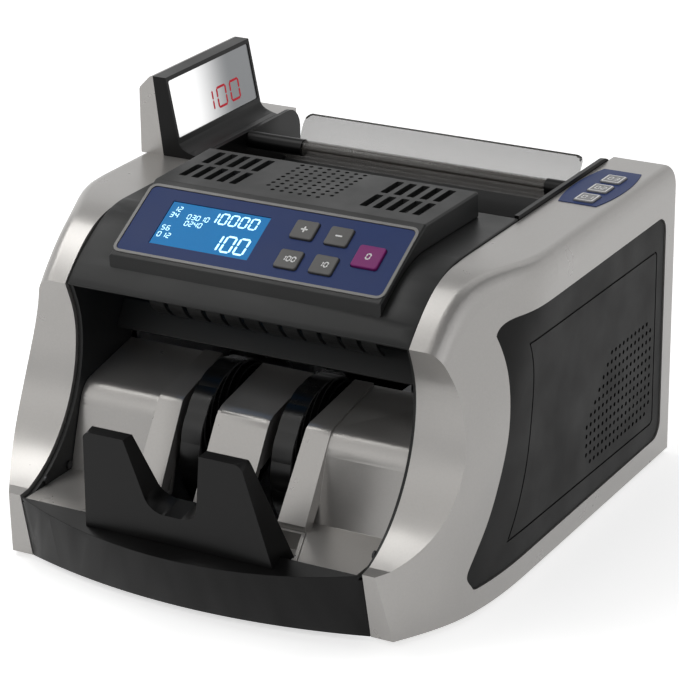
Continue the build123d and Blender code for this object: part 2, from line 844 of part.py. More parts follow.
with BuildPart() as display_board:
    with BuildSketch(window_plane.offset(-display_wall - 1.3)):
        with Locations((14.0, window_middle)):
            Rectangle(42.0, 20.0)
    extrude(amount=-3.0)
    with BuildSketch(window_plane.offset(-display_wall - 4.2)):
        with Locations((0.0, window_middle)):
            Rectangle(80.0, 26.0)
    extrude(amount=-1.6)
save(display_board.part, "display_board")

# Hopper walls
hopper_front = back(slope_top[0] + 0.2)
with BuildPart() as hopper_wall_right:
    with BuildSketch(Plane.YZ.offset(wall_inner)):
        with BuildLine():
            top_line = Line((hopper_front, wall_top), (rear - 0.3 - wall_corner, wall_top))
            corner = TangentArc(top_line @ 1, (rear - 0.3, wall_top - wall_corner), tangent=top_line % 1)
            Polyline(corner @ 1, (rear - 0.3, rear_cover_top + gap),
                     (rear_cover_front - gap, rear_cover_top + gap), (rear_cover_front - gap, wall_low),
                     (hopper_front, wall_low), (hopper_front, wall_top))
        make_face()
        with Locations((back(cover_pivot[0]), cover_pivot[1])):
            Circle(cover_rod + press, mode=Mode.SUBTRACT)
    extrude(amount=trim_half - wall_inner)
save(hopper_wall_right.part, "hopper_wall_right")
mirrored(hopper_wall_right.part, "hopper_wall_left")

# Sloped front of the hopper, with the feed gap knob
knob_plane = Plane(
    origin=(0, back((slope_top[0] + slope_low[0]) / 2), (slope_top[1] + slope_low[1]) / 2),
    x_dir=(1, 0, 0),
    z_dir=(0, slope_top[1] - slope_low[1], slope_low[0] - slope_top[0]),
)
knob_radius = 8.0
knob_height = 9.0
knob_stem = 3.0
with BuildPart() as hopper_slope:
    drop = plate_thickness * 1.2
    add(slab(-plate_half, plate_half, [
        slope_top, slope_low, (slope_low[0] - 1.4, slope_low[1] - 1.6),
        (slope_top[0], slope_top[1] - drop)]))
    with BuildSketch(knob_plane.offset(2)):
        Circle(knob_stem + running)
    extrude(amount=-6, mode=Mode.SUBTRACT)
save(hopper_slope.part, "hopper_slope")
with BuildPart() as feed_gap_knob:
    with BuildSketch(knob_plane.offset(gap)):
        Circle(knob_radius)
    extrude(amount=knob_height)
    with BuildSketch(knob_plane.offset(gap)):
        with PolarLocations(knob_radius, 18):
            Circle(0.8)
    extrude(amount=knob_height, mode=Mode.SUBTRACT)
    fillet(feed_gap_knob.faces().sort_by(lambda face: face.center().dot(knob_plane.z_dir))[-1].edges(),
           radius=0.3)
    with BuildSketch(knob_plane.offset(gap + 0.5)):
        Circle(knob_stem)
    extrude(amount=-13)
save(feed_gap_knob.part, "feed_gap_knob")

# Feed plate with a window over each pick-up roller
with BuildPart() as feed_plate:
    add(slab(-plate_half, plate_half, [
        feed_plate_low, feed_plate_high, feed_plate_rear,
        (feed_plate_rear[0], feed_plate_rear[1] - 1.4),
        (feed_plate_high[0] + 0.5, feed_plate_high[1] - plate_thickness),
        (feed_plate_low[0] + 0.6, feed_plate_low[1] - plate_thickness)]))
    with BuildSketch(Plane.XY.offset(feed_plate_rear[1] + 5)):
        with Locations(*[(side * roller_centre, back(pickup[0] - 4.0)) for side in (-1, 1)]):
            Rectangle(window_size[0], window_size[1])
    extrude(amount=-40, mode=Mode.SUBTRACT)
save(feed_plate.part, "feed_plate")

# Smoked hopper cover: a tube on a rod, a web behind it and an upstand at the rear
with BuildPart() as cover_frame:
    with BuildSketch(Plane.XZ.offset(-back(cover_pivot[0]))):
        with Locations((0, cover_bead[1] + cover_bead[2])):
            RectangleRounded(2 * cover_half, 80, sheet_corner, align=(Align.CENTER, Align.MAX))
    extrude(amount=-80)
with BuildPart() as hopper_cover:
    with BuildSketch(Plane.YZ.offset(-cover_half)):
        with BuildLine():
            pivot_y = back(cover_pivot[0])
            outer = Spline((pivot_y + 3.0, 170.4), (back(284.0), 160.6), (back(301.5), 154.2),
                           (back(308.6), 166.2), (back(315.4), 176.6), tangents=((1, -0.7), (0.72, 1)))
            inner = Spline((pivot_y + 3.0, 173.2), (back(284.6), 162.9), (back(300.2), 157.0),
                           (back(306.6), 167.0), (back(313.4), 177.6), tangents=((1, -0.7), (0.72, 1)))
            Line(outer @ 0, inner @ 0)
            Line(outer @ 1, inner @ 1)
        make_face()
    extrude(amount=2 * cover_half)
    add(bar(cover_bead[:2], cover_bead[2], -cover_half, cover_half))
    add(cover_frame.part, mode=Mode.INTERSECT)
    add(bar(cover_pivot, cap_radius + gap, -cover_half - 1, tube_ends[0]), mode=Mode.SUBTRACT)
    add(bar(cover_pivot, cover_tube, *tube_ends))
    add(bar(cover_pivot, cover_rod + running, -cover_half - 1, cover_half + 1), mode=Mode.SUBTRACT)
save(hopper_cover.part, "hopper_cover")
with BuildPart() as cover_caps:
    add(bar(cover_pivot, cap_radius, tube_ends[1] + cap_gap, wall_inner - gap))
    add(bar(cover_pivot, cap_radius, gap - wall_inner, tube_ends[0] - cap_gap))
    add(bar(cover_pivot, cover_rod + running, -wall_inner, wall_inner), mode=Mode.SUBTRACT)
save(cover_caps.part, "cover_caps")
save(bar(cover_pivot, cover_rod, -trim_half, trim_half), "cover_rod")


# Side frames: sheet metal with a bearing hole for every shaft
frame_outline = [
    (86.0, base_top), (86.0, 70.0), (94.0, 80.5), (133.0, 90.0), (136.0, 92.0), (136.0, 148.0),
    (152.0, 166.0), (192.0, 166.0), (204.0, 160.0), (236.0, 139.0), (246.0, 126.0), (316.0, 146.5),
    (316.0, base_top),
]
with BuildPart() as side_frame_right:
    add(slab(frame_inner, frame_outer, frame_outline))
    with BuildSketch(Plane.YZ.offset(frame_inner)):
        for centre in (pickup, feed, count, pressure, stacking):
            with Locations((back(centre[0]), centre[1])):
                Circle(shaft_radius + running)
        with Locations((back(motor[0]), motor[1])):
            Circle(motor_shaft + 1.0)
    extrude(amount=sheet, mode=Mode.SUBTRACT)
save(side_frame_right.part, "side_frame_right")
mirrored(side_frame_right.part, "side_frame_left")

# Dark walls on both sides of the tray, trimmed to the crescent of the shells
trim_inset = 2.5
trim_outline = [(20.0, 38.8), (20.0, 144.5), (132.0, 144.5), (132.0, 88.0), (92.0, 80.0), (80.0, 60.0),
                (74.0, 38.8)]
with BuildPart() as inner_wall_right:
    extrude(side_profile(wall_inner, trim_inset), amount=trim_half - wall_inner)
    add(slab(wall_inner, trim_half, trim_outline), mode=Mode.INTERSECT)
save(inner_wall_right.part, "inner_wall_right")
mirrored(inner_wall_right.part, "inner_wall_left")

# Note path: exit lip, sensor comb, lower guide and feed gate
exit_lip = [(118.8, 106.0), (127.0, 119.5), (133.0, 121.0), (133.0, 123.2), (125.4, 121.4), (116.7, 107.4)]
save(slab(-plate_half, plate_half, exit_lip), "exit_guide")

comb_half = 50.0
comb_slots = 7
comb_rail = (146.0, 150.0, 119.0, 129.0)
with BuildPart() as sensor_comb:
    add(slab(-frame_inner + gap, frame_inner - gap, [
        (comb_rail[0], comb_rail[2]), (comb_rail[1], comb_rail[2]),
        (comb_rail[1], comb_rail[3]), (comb_rail[0], comb_rail[3])]))
    add(slab(-comb_half, comb_half, [
        (133.3, 121.2), (140.0, 117.0), (146.5, 117.0), (146.5, 129.0), (140.0, 129.0), (133.3, 123.4)]))
    with BuildSketch(Plane.XY.offset(comb_rail[3] + 1)):
        with GridLocations(comb_half * 2 / comb_slots, 1, comb_slots, 1):
            with Locations((0, back(138.0))):
                Rectangle(7.0, 11.0)
    extrude(amount=-20, mode=Mode.SUBTRACT)
save(sensor_comb.part, "sensor_comb")

guide_line = [(245.0, 131.5), (205.0, 126.0), (190.0, 118.0), (150.0, 108.0), (137.5, 101.7)]
guide_windows = [(feed[0], 37.0), (count[0], 36.0)]
with BuildPart() as transport_plate:
    below = [(distance + 0.4, height - plate_thickness) for distance, height in reversed(guide_line)]
    add(slab(-frame_inner + gap, frame_inner - gap, guide_line + below))
    with BuildSketch(Plane.XY.offset(140)):
        for middle, length in guide_windows:
            with Locations((-roller_centre, back(middle)), (roller_centre, back(middle))):
                Rectangle(window_size[0], length)
    extrude(amount=-60, mode=Mode.SUBTRACT)
save(transport_plate.part, "transport_plate")

gate_half = 14.0
gate_outline = [
    (207.0, 170.4), (230.0, 154.6), (232.0, 141.0), (227.0, 136.8), (218.0, 136.8), (207.0, 150.0),
]
with BuildPart() as feed_gate:
    add(slab(-gate_half, gate_half, gate_outline))
    with BuildSketch(knob_plane.offset(2)):
        Circle(knob_stem + running)
    extrude(amount=-18, mode=Mode.SUBTRACT)
save(feed_gate.part, "feed_gate")


# Drive: each shaft carries its rollers or wheels and, on the left, its drums
def drum(centre, radius, plane):
    """A belt drum with a rim on both sides."""
    half = drum_width / 2
    with BuildPart() as wheel:
        add(bar(centre, radius, plane - half, plane + half))
        add(bar(centre, radius + rim_rise, plane - half - rim_width, plane - half))
        add(bar(centre, radius + rim_rise, plane + half, plane + half + rim_width))
    return wheel.part


def roller_shaft(centre, drums, half_length, roller_half):
    """A shaft with a roller on each side of the middle and its belt drums."""
    left_end = min([plane for radius, plane in drums], default=4 - half_length) - 4
    with BuildPart() as shaft:
        add(bar(centre, shaft_radius, left_end, half_length))
        for side in (-1, 1):
            middle = side * roller_centre
            add(bar(centre, centre[2], middle - roller_half, middle + roller_half))
        for radius, plane in drums:
            add(drum(centre, radius, plane))
    return shaft.part


save(roller_shaft(pickup, [(pickup_drum, belt_plane[2])], shaft_end, roller_width / 2), "pickup_rollers")
save(roller_shaft(feed, [(feed_drum, belt_plane[1]), (feed_pickup_drum, belt_plane[2])], shaft_end,
                  roller_width / 2), "feed_rollers")
save(roller_shaft(count, [(count_drum, belt_plane[0]), (count_feed_drum, belt_plane[1]),
                          (count_stack_drum, belt_plane[2])], shaft_end, roller_width / 2),
     "counting_rollers")
save(roller_shaft(pressure, [], shaft_end, roller_width / 2 - 1), "pressure_rollers")

finger_root = 7.0
finger_middle = (29.0, 62.0)
finger_tip = (stacking[2] - finger_thickness / 2, 128.0)
with BuildSketch() as finger:
    with BuildLine():
        root = PolarLine((0, 0), finger_root, 0, mode=Mode.PRIVATE) @ 1
        middle = PolarLine((0, 0), finger_middle[0], -finger_middle[1], mode=Mode.PRIVATE) @ 1
        tip = PolarLine((0, 0), finger_tip[0], -finger_tip[1], mode=Mode.PRIVATE) @ 1
        ThreePointArc(root, middle, tip)
    trace(line_width=finger_thickness)
with BuildSketch() as wheel_outline:
    Circle(wheel_hub)
    with PolarLocations(0, finger_count):
        add(finger.sketch)
with BuildPart() as stacking_wheels:
    add(bar(stacking, shaft_radius, belt_plane[2] - 4, shaft_end))
    add(drum(stacking, stack_drum, belt_plane[2]))
    for side in (-1, 1):
        with BuildSketch(Plane.YZ.offset(side * wheel_centre - wheel_width / 2)):
            with Locations((back(stacking[0]), stacking[1])):
                add(wheel_outline.sketch)
        extrude(amount=wheel_width)
save(stacking_wheels.part, "stacking_wheels")

with BuildPart() as main_motor:
    add(bar(motor, motor[2], -frame_inner, -frame_inner + motor_length))
    add(bar(motor, motor_shaft + 0.9, -frame_outer, -frame_inner))
    add(bar(motor, motor_shaft + running, -frame_outer, -frame_inner + 6), mode=Mode.SUBTRACT)
    edge = main_motor.faces().sort_by(Axis.X)[-1].edges()
    fillet(edge, radius=2.0)
save(main_motor.part, "main_motor")
with BuildPart() as motor_pulley:
    add(drum(motor, motor_drum, belt_plane[0]))
    add(bar(motor, motor_shaft, belt_plane[0] - 4, -frame_inner + 5))
save(motor_pulley.part, "motor_pulley")


def belt(first, first_radius, second, second_radius, plane):
    """A flat belt round two drums, straight between them."""
    with BuildPart() as loop:
        for extra, mode in ((belt_gap + belt_thickness, Mode.ADD), (belt_gap, Mode.SUBTRACT)):
            with BuildSketch(Plane.YZ.offset(plane - belt_width / 2)):
                with Locations((back(first[0]), first[1])):
                    Circle(first_radius + extra)
                with Locations((back(second[0]), second[1])):
                    Circle(second_radius + extra)
                make_hull()
            extrude(amount=belt_width, mode=mode)
    return loop.part


belt_loops = [
    belt(motor, motor_drum, count, count_drum, belt_plane[0]),
    belt(count, count_feed_drum, feed, feed_drum, belt_plane[1]),
    belt(feed, feed_pickup_drum, pickup, pickup_drum, belt_plane[2]),
    belt(count, count_stack_drum, stacking, stack_drum, belt_plane[2]),
]
with BuildPart() as drive_belts:
    for loop in belt_loops:
        add(loop)
save(drive_belts.part, "drive_belts")


# Tray: left and right halves with a rib beside each slot, and the middle with the finger recess
def tray_line(shift):
    """Floor, backrest and shelf in the side view, moved back and down by shift."""

    def place(point):
        return (back(point[0]) + shift[0], point[1] + shift[1])

    Line(place((tray_front, floor_top)), place(tray_heel))
    Line(place(tray_heel), place(tray_bend[0]))
    Spline(*[place(point) for point in tray_bend], tangents=((0.32, 1), (1, 0.2)))
    Line(place(tray_bend[-1]), place(tray_end))
    return place((tray_front, floor_top)), place(tray_end)


flange_outline = [(83.3, 86.0), (76.0, 75.0), (73.0, 62.0), (84.0, 66.0), (95.0, 80.0), (95.0, 87.0)]
rib_line = [(54.3, 44.0), (83.6, 88.0), (131.0, 97.4)]
rib_under = [(131.0, 94.6), (95.0, 87.4), (93.0, 80.0), (60.0, 38.8), (54.3, 38.8), (54.3, 44.0)]
tray_plan = [
    (recess_half_front, tray_front), (plate_half, tray_front), (plate_half, 135.0), (slot_outer_high, 135.0),
    (slot_outer_low, slope_foot[0]), (recess_half_rear, slope_foot[0]),
]
with BuildPart() as stacker_right:
    with BuildSketch(Plane.YZ.offset(slot_inner)):
        with BuildLine():
            upper_start, upper_end = tray_line((0, 0))
            lower_start, lower_end = tray_line(tray_drop)
            Line(upper_start, lower_start)
            Line(upper_end, lower_end)
        make_face()
    extrude(amount=plate_half - slot_inner)
    add(bent_slab(slot_inner, rib_outer, rib_line, rib_radius, rib_under))
    add(slab(slot_inner, slot_outer_high, flange_outline))
    with BuildSketch():
        with BuildLine():
            Polyline(*[(across, back(distance)) for across, distance in tray_plan], close=True)
        make_face()
    extrude(amount=shell_top, mode=Mode.INTERSECT)
save(stacker_right.part, "stacker_right")
mirrored(stacker_right.part, "stacker_left")

recess_plan = [
    (recess_half_front, tray_front), (recess_half_rear, slope_foot[0]),
    (-recess_half_rear, slope_foot[0]), (-recess_half_front, tray_front),
]
with BuildPart() as recess_block:
    with BuildSketch(Plane.XY.offset(recess_top - recess_skin)):
        with BuildLine():
            Polyline(*[(across, back(distance)) for across, distance in recess_plan], close=True)
        make_face()
        offset(amount=-0.4)
    extrude(amount=floor_top - recess_top + recess_skin)
with BuildPart() as recess_space:
    with BuildSketch(Plane.XY.offset(recess_top)):
        with BuildLine():
            Polyline(*[(across, back(distance)) for across, distance in recess_plan], close=True)
        make_face()
        offset(amount=-0.4 - recess_skin)
        with Locations((0, back(tray_front))):
            Rectangle(2 * recess_half_front - 8, 12)
    extrude(amount=20)
with BuildPart() as stacker_centre:
    add(recess_block.part)
    add(recess_space.part, mode=Mode.SUBTRACT)
    add(slab(-strip_half, strip_half, [
        (strip_front, floor_top), (slope_foot[0] - 0.4, floor_top), (slope_foot[0] - 0.4, recess_top - 1),
        (recess_foot, recess_top - 1), (recess_foot, recess_top)]))
    add(bent_slab(-slot_inner, slot_inner, [(slope_foot[0] - 0.4, floor_top), slope_crest, tray_end],
                  crest_radius, [
        (tray_end[0], tray_end[1] - 2.2), (slope_crest[0] + 8.0, slope_crest[1] - 2.4),
        (slope_crest[0] + 1.0, slope_crest[1] - 7.0), (slope_foot[0] + 2.2, floor_top - 2),
        (slope_foot[0] - 2, floor_top - 2), (slope_foot[0] - 0.4, floor_top)]))
    for start in (-slot_inner, slot_inner - flange_sheet):
        add(slab(start, start + flange_sheet, flange_outline))
save(stacker_centre.part, "stacker_centre")


# Bumper across the front and the note stop that stands in the recess behind it
def bumper_section(height, corner, middle, rear_edge):
    with BuildSketch(Plane.XY.offset(height)) as section:
        with BuildLine():
            ThreePointArc((-corner[0], back(corner[1])), (0, back(middle)), (corner[0], back(corner[1])))
            Polyline((corner[0], back(corner[1])), (corner[0], back(rear_edge)),
                     (-corner[0], back(rear_edge)), (-corner[0], back(corner[1])))
        make_face()
    return section.sketch


bumper_skin = 3.0
bumper_hollow = (25.0, (90.0, 29.6), (98.0, 29.0), 17.6, 10.9)
bumper_outer = [
    bumper_section(foot_height, bumper_corner_low, bumper_low, bumper_back),
    bumper_section(bumper_top, bumper_corner_high, bumper_high, bumper_back),
]
bumper_inner = [
    bumper_section(foot_height, bumper_hollow[1], bumper_hollow[3], bumper_back - bumper_skin),
    bumper_section(bumper_hollow[0], bumper_hollow[2], bumper_hollow[4], bumper_back - bumper_skin),
]
bumper_rise = (bumper_slope[0][1] - bumper_slope[1][1]) / (bumper_slope[0][0] - bumper_slope[1][0])
bumper_reach = 10.0
bumper_ledge = 38.5
with BuildPart() as front_bumper:
    loft(bumper_outer)
    loft(bumper_inner, mode=Mode.SUBTRACT)
    add(slab(-half_width, half_width, [
        (bumper_slope[1][0] - bumper_reach, bumper_slope[1][1] - bumper_reach * bumper_rise),
        bumper_slope[0], (bumper_slope[0][0], bumper_ledge), (40.0, bumper_ledge), (40.0, 60.0),
        (bumper_slope[1][0] - bumper_reach, 60.0)]), mode=Mode.SUBTRACT)
    add(slab(-recess_half_front - 1.5, recess_half_front + 1.5, [
        (bumper_slope[0][0], recess_top - recess_skin - 1), (40.0, recess_top - recess_skin - 1),
        (40.0, 60.0), (bumper_slope[0][0], 60.0)]), mode=Mode.SUBTRACT)
save(front_bumper.part, "front_bumper")

stop_rise = hypot(stop_foot[0] - stop_head[0], stop_head[1] - stop_foot[1])
stop_plane = Plane(
    origin=(0, back(stop_foot[0]), stop_foot[1]),
    x_dir=(1, 0, 0),
    z_dir=(0, -(stop_head[1] - stop_foot[1]) / stop_rise, (stop_head[0] - stop_foot[0]) / stop_rise),
)
stop_base = -4.0
stop_top_corner = 5.0
stop_gap_corner = 11.0
stop_pocket_floor = 8.5
stop_side = [
    (13.62, 37.94), (bumper_slope[0][0] + 0.6, 41.7), (bumper_slope[0][0] + 0.6, recess_top + 0.2),
    (stop_back_low, recess_top + 0.2), (stop_back_high, stop_head[1]), (stop_head[0] - 0.4, stop_head[1]),
    (13.0, 37.7),
]


stop_cut = stop_rise * (stop_gap_bottom - stop_foot[1]) / (stop_head[1] - stop_foot[1])
with BuildSketch() as stop_notch:
    with BuildLine():
        FilletPolyline((-stop_gap_high - 2, stop_rise + 12), (-stop_gap_low, stop_cut),
                       (stop_gap_low, stop_cut), (stop_gap_high + 2, stop_rise + 12),
                       radius=stop_gap_corner)
        Line((stop_gap_high + 2, stop_rise + 12), (-stop_gap_high - 2, stop_rise + 12))
    make_face()


def stop_outline(inset):
    """Front view of the note stop: a plate with rounded shoulders and a U shaped gap."""
    with BuildSketch(stop_plane) as outline:
        with BuildLine():
            FilletPolyline((-stop_half_low, stop_base), (-stop_half_high, stop_rise),
                           (stop_half_high, stop_rise), (stop_half_low, stop_base), radius=stop_top_corner)
            Line((stop_half_low, stop_base), (-stop_half_low, stop_base))
        make_face()
        add(stop_notch.sketch, mode=Mode.SUBTRACT)
        if inset:
            offset(amount=-inset, mode=Mode.REPLACE)
            with Locations((0, stop_pocket_floor)):
                Rectangle(200, 100, align=(Align.CENTER, Align.MIN), mode=Mode.INTERSECT)
    return outline.sketch


stop_front = stop_outline(0)
with BuildPart() as stop_layer:
    extrude(stop_front, amount=-stop_skin)
with BuildPart() as stop_pocket:
    extrude(stop_outline(stop_skin), amount=-50)
    add(stop_layer.part, mode=Mode.SUBTRACT)
with BuildPart() as note_stop:
    extrude(stop_front, amount=-50)
    add(slab(-half_width, half_width, stop_side), mode=Mode.INTERSECT)
    add(stop_pocket.part, mode=Mode.SUBTRACT)
save(note_stop.part, "note_stop")

# Base plate on four rubber feet
with BuildPart() as base_plate:
    with BuildSketch(Plane.XY.offset(foot_height)):
        with BuildLine():
            near = back(base_front)
            far = rear_cover_front - gap
            Polyline((-trim_half, near), (trim_half, near), (trim_half, far), (-trim_half, far), close=True)
        make_face()
        with Locations(*[(side * foot_half, back(row)) for side in (-1, 1) for row in foot_rows]):
            Circle(foot_stem + press, mode=Mode.SUBTRACT)
    extrude(amount=base_thickness)
save(base_plate.part, "base_plate")
with BuildPart() as feet:
    foot_places = [(side * foot_half, back(row)) for side in (-1, 1) for row in foot_rows]
    with BuildSketch():
        with Locations(*foot_places):
            Circle(foot_radius)
    extrude(amount=foot_height)
    fillet(feet.faces().filter_by(Axis.Z).sort_by(Axis.Z)[0:4].edges(), radius=0.8)
    with BuildSketch(Plane.XY.offset(foot_height)):
        with Locations(*foot_places):
            Circle(foot_stem)
    extrude(amount=base_thickness)
save(feet.part, "feet")

# Mains and electronics
supply_size = (60.0, 50.0, 45.0)
supply_centre = (40.0, 268.0)
with BuildPart() as power_supply:
    with BuildSketch(Plane.XY.offset(base_top)):
        with Locations((supply_centre[0], back(supply_centre[1]))):
            Rectangle(supply_size[0] + 16, supply_size[1] - 10)
    extrude(amount=1.5)
    with BuildSketch(Plane.XY.offset(base_top)):
        with Locations((supply_centre[0], back(supply_centre[1]))):
            Rectangle(supply_size[0] - 14, supply_size[1])
    extrude(amount=supply_size[2])
    with BuildSketch(Plane.XY.offset(base_top + 8)):
        with Locations((supply_centre[0], back(supply_centre[1]))):
            RectangleRounded(supply_size[0], supply_size[1] + 6, 6)
    extrude(amount=supply_size[2] - 16)
save(power_supply.part, "power_supply")

board_rows = (160.0, 230.0)
board_heights = (22.0, 84.0)
board_edge = 6.0
board_face = frame_inner - 6.0
with BuildPart() as main_board:
    add(slab(board_face - board_thickness, board_face, [
        (board_rows[0] - board_edge, board_heights[0] - board_edge),
        (board_rows[1] + board_edge, board_heights[0] - board_edge),
        (board_rows[1] + board_edge, board_heights[1] + board_edge),
        (board_rows[0] - board_edge, board_heights[1] + board_edge)]))
    for row in board_rows:
        for height in board_heights:
            add(bar((row, height), 3.0, board_face, frame_inner))
    for row, height, length, rise, stand in ((176, 44, 22, 22, 3.0), (206, 66, 30, 9, 9.0),
                                             (214, 34, 12, 16, 14.0), (196, 26, 24, 8, 7.0)):
        add(slab(board_face - board_thickness - stand, board_face - board_thickness, [
            (row - length / 2, height - rise / 2), (row + length / 2, height - rise / 2),
            (row + length / 2, height + rise / 2), (row - length / 2, height + rise / 2)]))
save(main_board.part, "main_board")

# Rear cover with vents and the mains inlet, which holds the switch
inlet_plane = Plane(
    origin=(inlet_centre[0], rear_cover_face, inlet_centre[1]),
    x_dir=(-1, 0, 0),
    z_dir=(0, 1, 0),
)
with BuildPart() as rear_cover:
    with BuildSketch(Plane.XZ.offset(-rear_cover_front)):
        with BuildLine():
            Polyline((-trim_half, base_top + gap), (trim_half, base_top + gap), (trim_half, rear_cover_top),
                     (-trim_half, rear_cover_top), close=True)
        make_face()
        with Locations(inlet_centre):
            Rectangle(inlet_body[0] + 2 * gap, inlet_body[1] + 2 * gap, mode=Mode.SUBTRACT)
        with Locations((rear_vent_centre[0], rear_vent_centre[1])):
            with GridLocations(rear_vent_pitch[0], rear_vent_pitch[1], 12, 2):
                SlotOverall(rear_vent[1], rear_vent[0], rotation=90, mode=Mode.SUBTRACT)
    extrude(amount=-skin)
save(rear_cover.part, "rear_cover")

rocker_left = inlet_centre[0] - rocker_centre - rocker_size[0] / 2
with BuildPart() as power_inlet:
    with BuildSketch(inlet_plane):
        RectangleRounded(*inlet_flange, 3.0)
    extrude(amount=inlet_lip)
    with BuildSketch(inlet_plane):
        Rectangle(*inlet_body)
    extrude(amount=-inlet_depth)
    with BuildSketch(inlet_plane.offset(inlet_lip)):
        with Locations((socket_centre, 0)):
            Rectangle(*socket_size)
    extrude(amount=-socket_depth - inlet_lip, mode=Mode.SUBTRACT)
    with BuildSketch(inlet_plane.offset(inlet_lip)):
        with Locations((rocker_centre, 0)):
            Rectangle(rocker_size[0] + 2 * rocker_fit, rocker_size[1] + 2 * rocker_fit)
    extrude(amount=-rocker_well - inlet_lip, mode=Mode.SUBTRACT)
    with BuildSketch(inlet_plane.offset(-socket_depth)):
        with Locations((socket_centre, 2.0)):
            with GridLocations(7.0, 1, 2, 1):
                Rectangle(2.0, 4.0)
        with Locations((socket_centre, -2.5)):
            Rectangle(2.0, 4.0)
    extrude(amount=socket_depth - 3)
    add(bar(rocker_axis, rocker_pin + running, rocker_left - rocker_pin_length - 0.2,
            rocker_left + rocker_size[0] + rocker_pin_length + 0.2), mode=Mode.SUBTRACT)
save(power_inlet.part, "power_inlet")
with BuildPart() as power_rocker:
    with BuildSketch(Plane.YZ.offset(rocker_left)):
        with BuildLine():
            middle = rear_cover_face + inlet_lip - rocker_sink
            height = inlet_centre[1]
            half = rocker_size[1] / 2
            ThreePointArc((middle, height - half), (middle - rocker_dish, height), (middle, height + half))
            Polyline((middle, height + half), (middle - 2.0, height + half), (middle - 6.0, height + 2.5),
                     (middle - 6.0, height - 2.5), (middle - 2.0, height - half), (middle, height - half))
        make_face()
    extrude(amount=rocker_size[0])
    add(bar(rocker_axis, rocker_pin, rocker_left - rocker_pin_length,
            rocker_left + rocker_size[0] + rocker_pin_length))
save(power_rocker.part, "power_rocker")

# Screws on the dark walls and the rear cover
with BuildPart() as screws:
    for row, height in wall_screws:
        for side in (-1, 1):
            add(bar((row, height), screw_head[0], side * wall_inner, side * (wall_inner - screw_head[1])))
    with BuildSketch(Plane.XZ.offset(-rear_cover_face)):
        with Locations(*rear_screws):
            Circle(screw_head[0])
    extrude(amount=-screw_head[1])
save(screws.part, "screws")
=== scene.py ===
import json
import math
import bpy
import bmesh
from mathutils import Matrix, Quaternion, Vector


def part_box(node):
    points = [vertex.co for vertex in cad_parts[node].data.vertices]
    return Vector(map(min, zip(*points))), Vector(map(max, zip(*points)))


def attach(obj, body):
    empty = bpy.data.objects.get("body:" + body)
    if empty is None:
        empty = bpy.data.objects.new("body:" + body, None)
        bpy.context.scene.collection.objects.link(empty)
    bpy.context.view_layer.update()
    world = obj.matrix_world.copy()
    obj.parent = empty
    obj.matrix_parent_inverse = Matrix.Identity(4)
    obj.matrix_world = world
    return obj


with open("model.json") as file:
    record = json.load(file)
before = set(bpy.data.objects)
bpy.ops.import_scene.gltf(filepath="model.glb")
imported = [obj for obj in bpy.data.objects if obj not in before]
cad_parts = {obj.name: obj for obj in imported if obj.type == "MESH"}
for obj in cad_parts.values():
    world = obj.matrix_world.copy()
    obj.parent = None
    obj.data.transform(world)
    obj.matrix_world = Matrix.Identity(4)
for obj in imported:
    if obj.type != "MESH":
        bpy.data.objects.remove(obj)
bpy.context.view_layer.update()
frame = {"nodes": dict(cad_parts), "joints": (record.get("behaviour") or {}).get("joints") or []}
nodes = frame["nodes"]
joints = {joint["name"]: joint for joint in frame["joints"]}
mm = 0.001
print("frame loaded:", len(nodes), "nodes")

# where the camera stands in metres, its angles in degrees and its lens and sensor in mm
cameraLook = {"place": (0.7606, -1.3448, 0.7092), "azimuth": 29.0, "elevation": 21.47, "roll": -0.54,
              "lens": 159.54, "sensor": 36.0, "shift": -0.0018, "clip": (0.05, 30.0)}


def placeCamera(look):
    data = bpy.data.cameras.new("camera")
    data.lens = look["lens"]
    data.sensor_width = look["sensor"]
    data.shift_x = look["shift"]
    data.clip_start, data.clip_end = look["clip"]
    camera = bpy.data.objects.new("camera", data)
    bpy.context.scene.collection.objects.link(camera)
    azimuth, elevation, roll = (math.radians(look[key]) for key in ("azimuth", "elevation", "roll"))
    back = Vector((math.sin(azimuth) * math.cos(elevation), -math.cos(azimuth) * math.cos(elevation),
                   math.sin(elevation)))
    turn = back.to_track_quat("Z", "Y") @ Quaternion((0, 0, 1), roll)
    camera.rotation_euler = turn.to_euler()
    camera.location = look["place"]
    bpy.context.scene.camera = camera


# place and size in metres
lampLooks = {
    "key": {"place": (-1.1, -1.3, 1.7), "size": 2.2, "watts": 9.5, "tint": (1.0, 0.99, 0.97)},
    "left": {"place": (-1.15, -0.05, 1.75), "size": 1.1, "watts": 13.0, "tint": (1.0, 1.0, 0.99)},
    "side": {"place": (1.7, -0.3, 1.0), "size": 1.4, "watts": 3.0, "tint": (0.97, 0.98, 1.0)},
    "top": {"place": (0.1, 0.9, 1.8), "size": 1.4, "watts": 3.6, "tint": (1.0, 1.0, 1.0)},
}

lampAim = Vector((0, 0, 0.1))


def hangLamp(name, look):
    data = bpy.data.lights.new(name, "AREA")
    data.shape = "SQUARE"
    data.size = look["size"]
    data.energy = look["watts"]
    data.color = look["tint"]
    lamp = bpy.data.objects.new(name, data)
    bpy.context.scene.collection.objects.link(lamp)
    lamp.location = look["place"]
    aim = lampAim - lamp.location
    lamp.rotation_euler = aim.to_track_quat("-Z", "Y").to_euler()


def addNode(tree, kind, **settings):
    node = tree.nodes.new("ShaderNode" + kind)
    for key, value in settings.items():
        setattr(node, key, value)
    return node


# the room's light from below to above, and what gloss sees from the horizon up; white stands behind all
worldLook = {"soft": (0.40, 0.95), "softSpan": (0.35, 0.95), "strength": 0.36,
             "gloss": (1.0, 0.16), "glossSpan": (0.30, 0.95)}


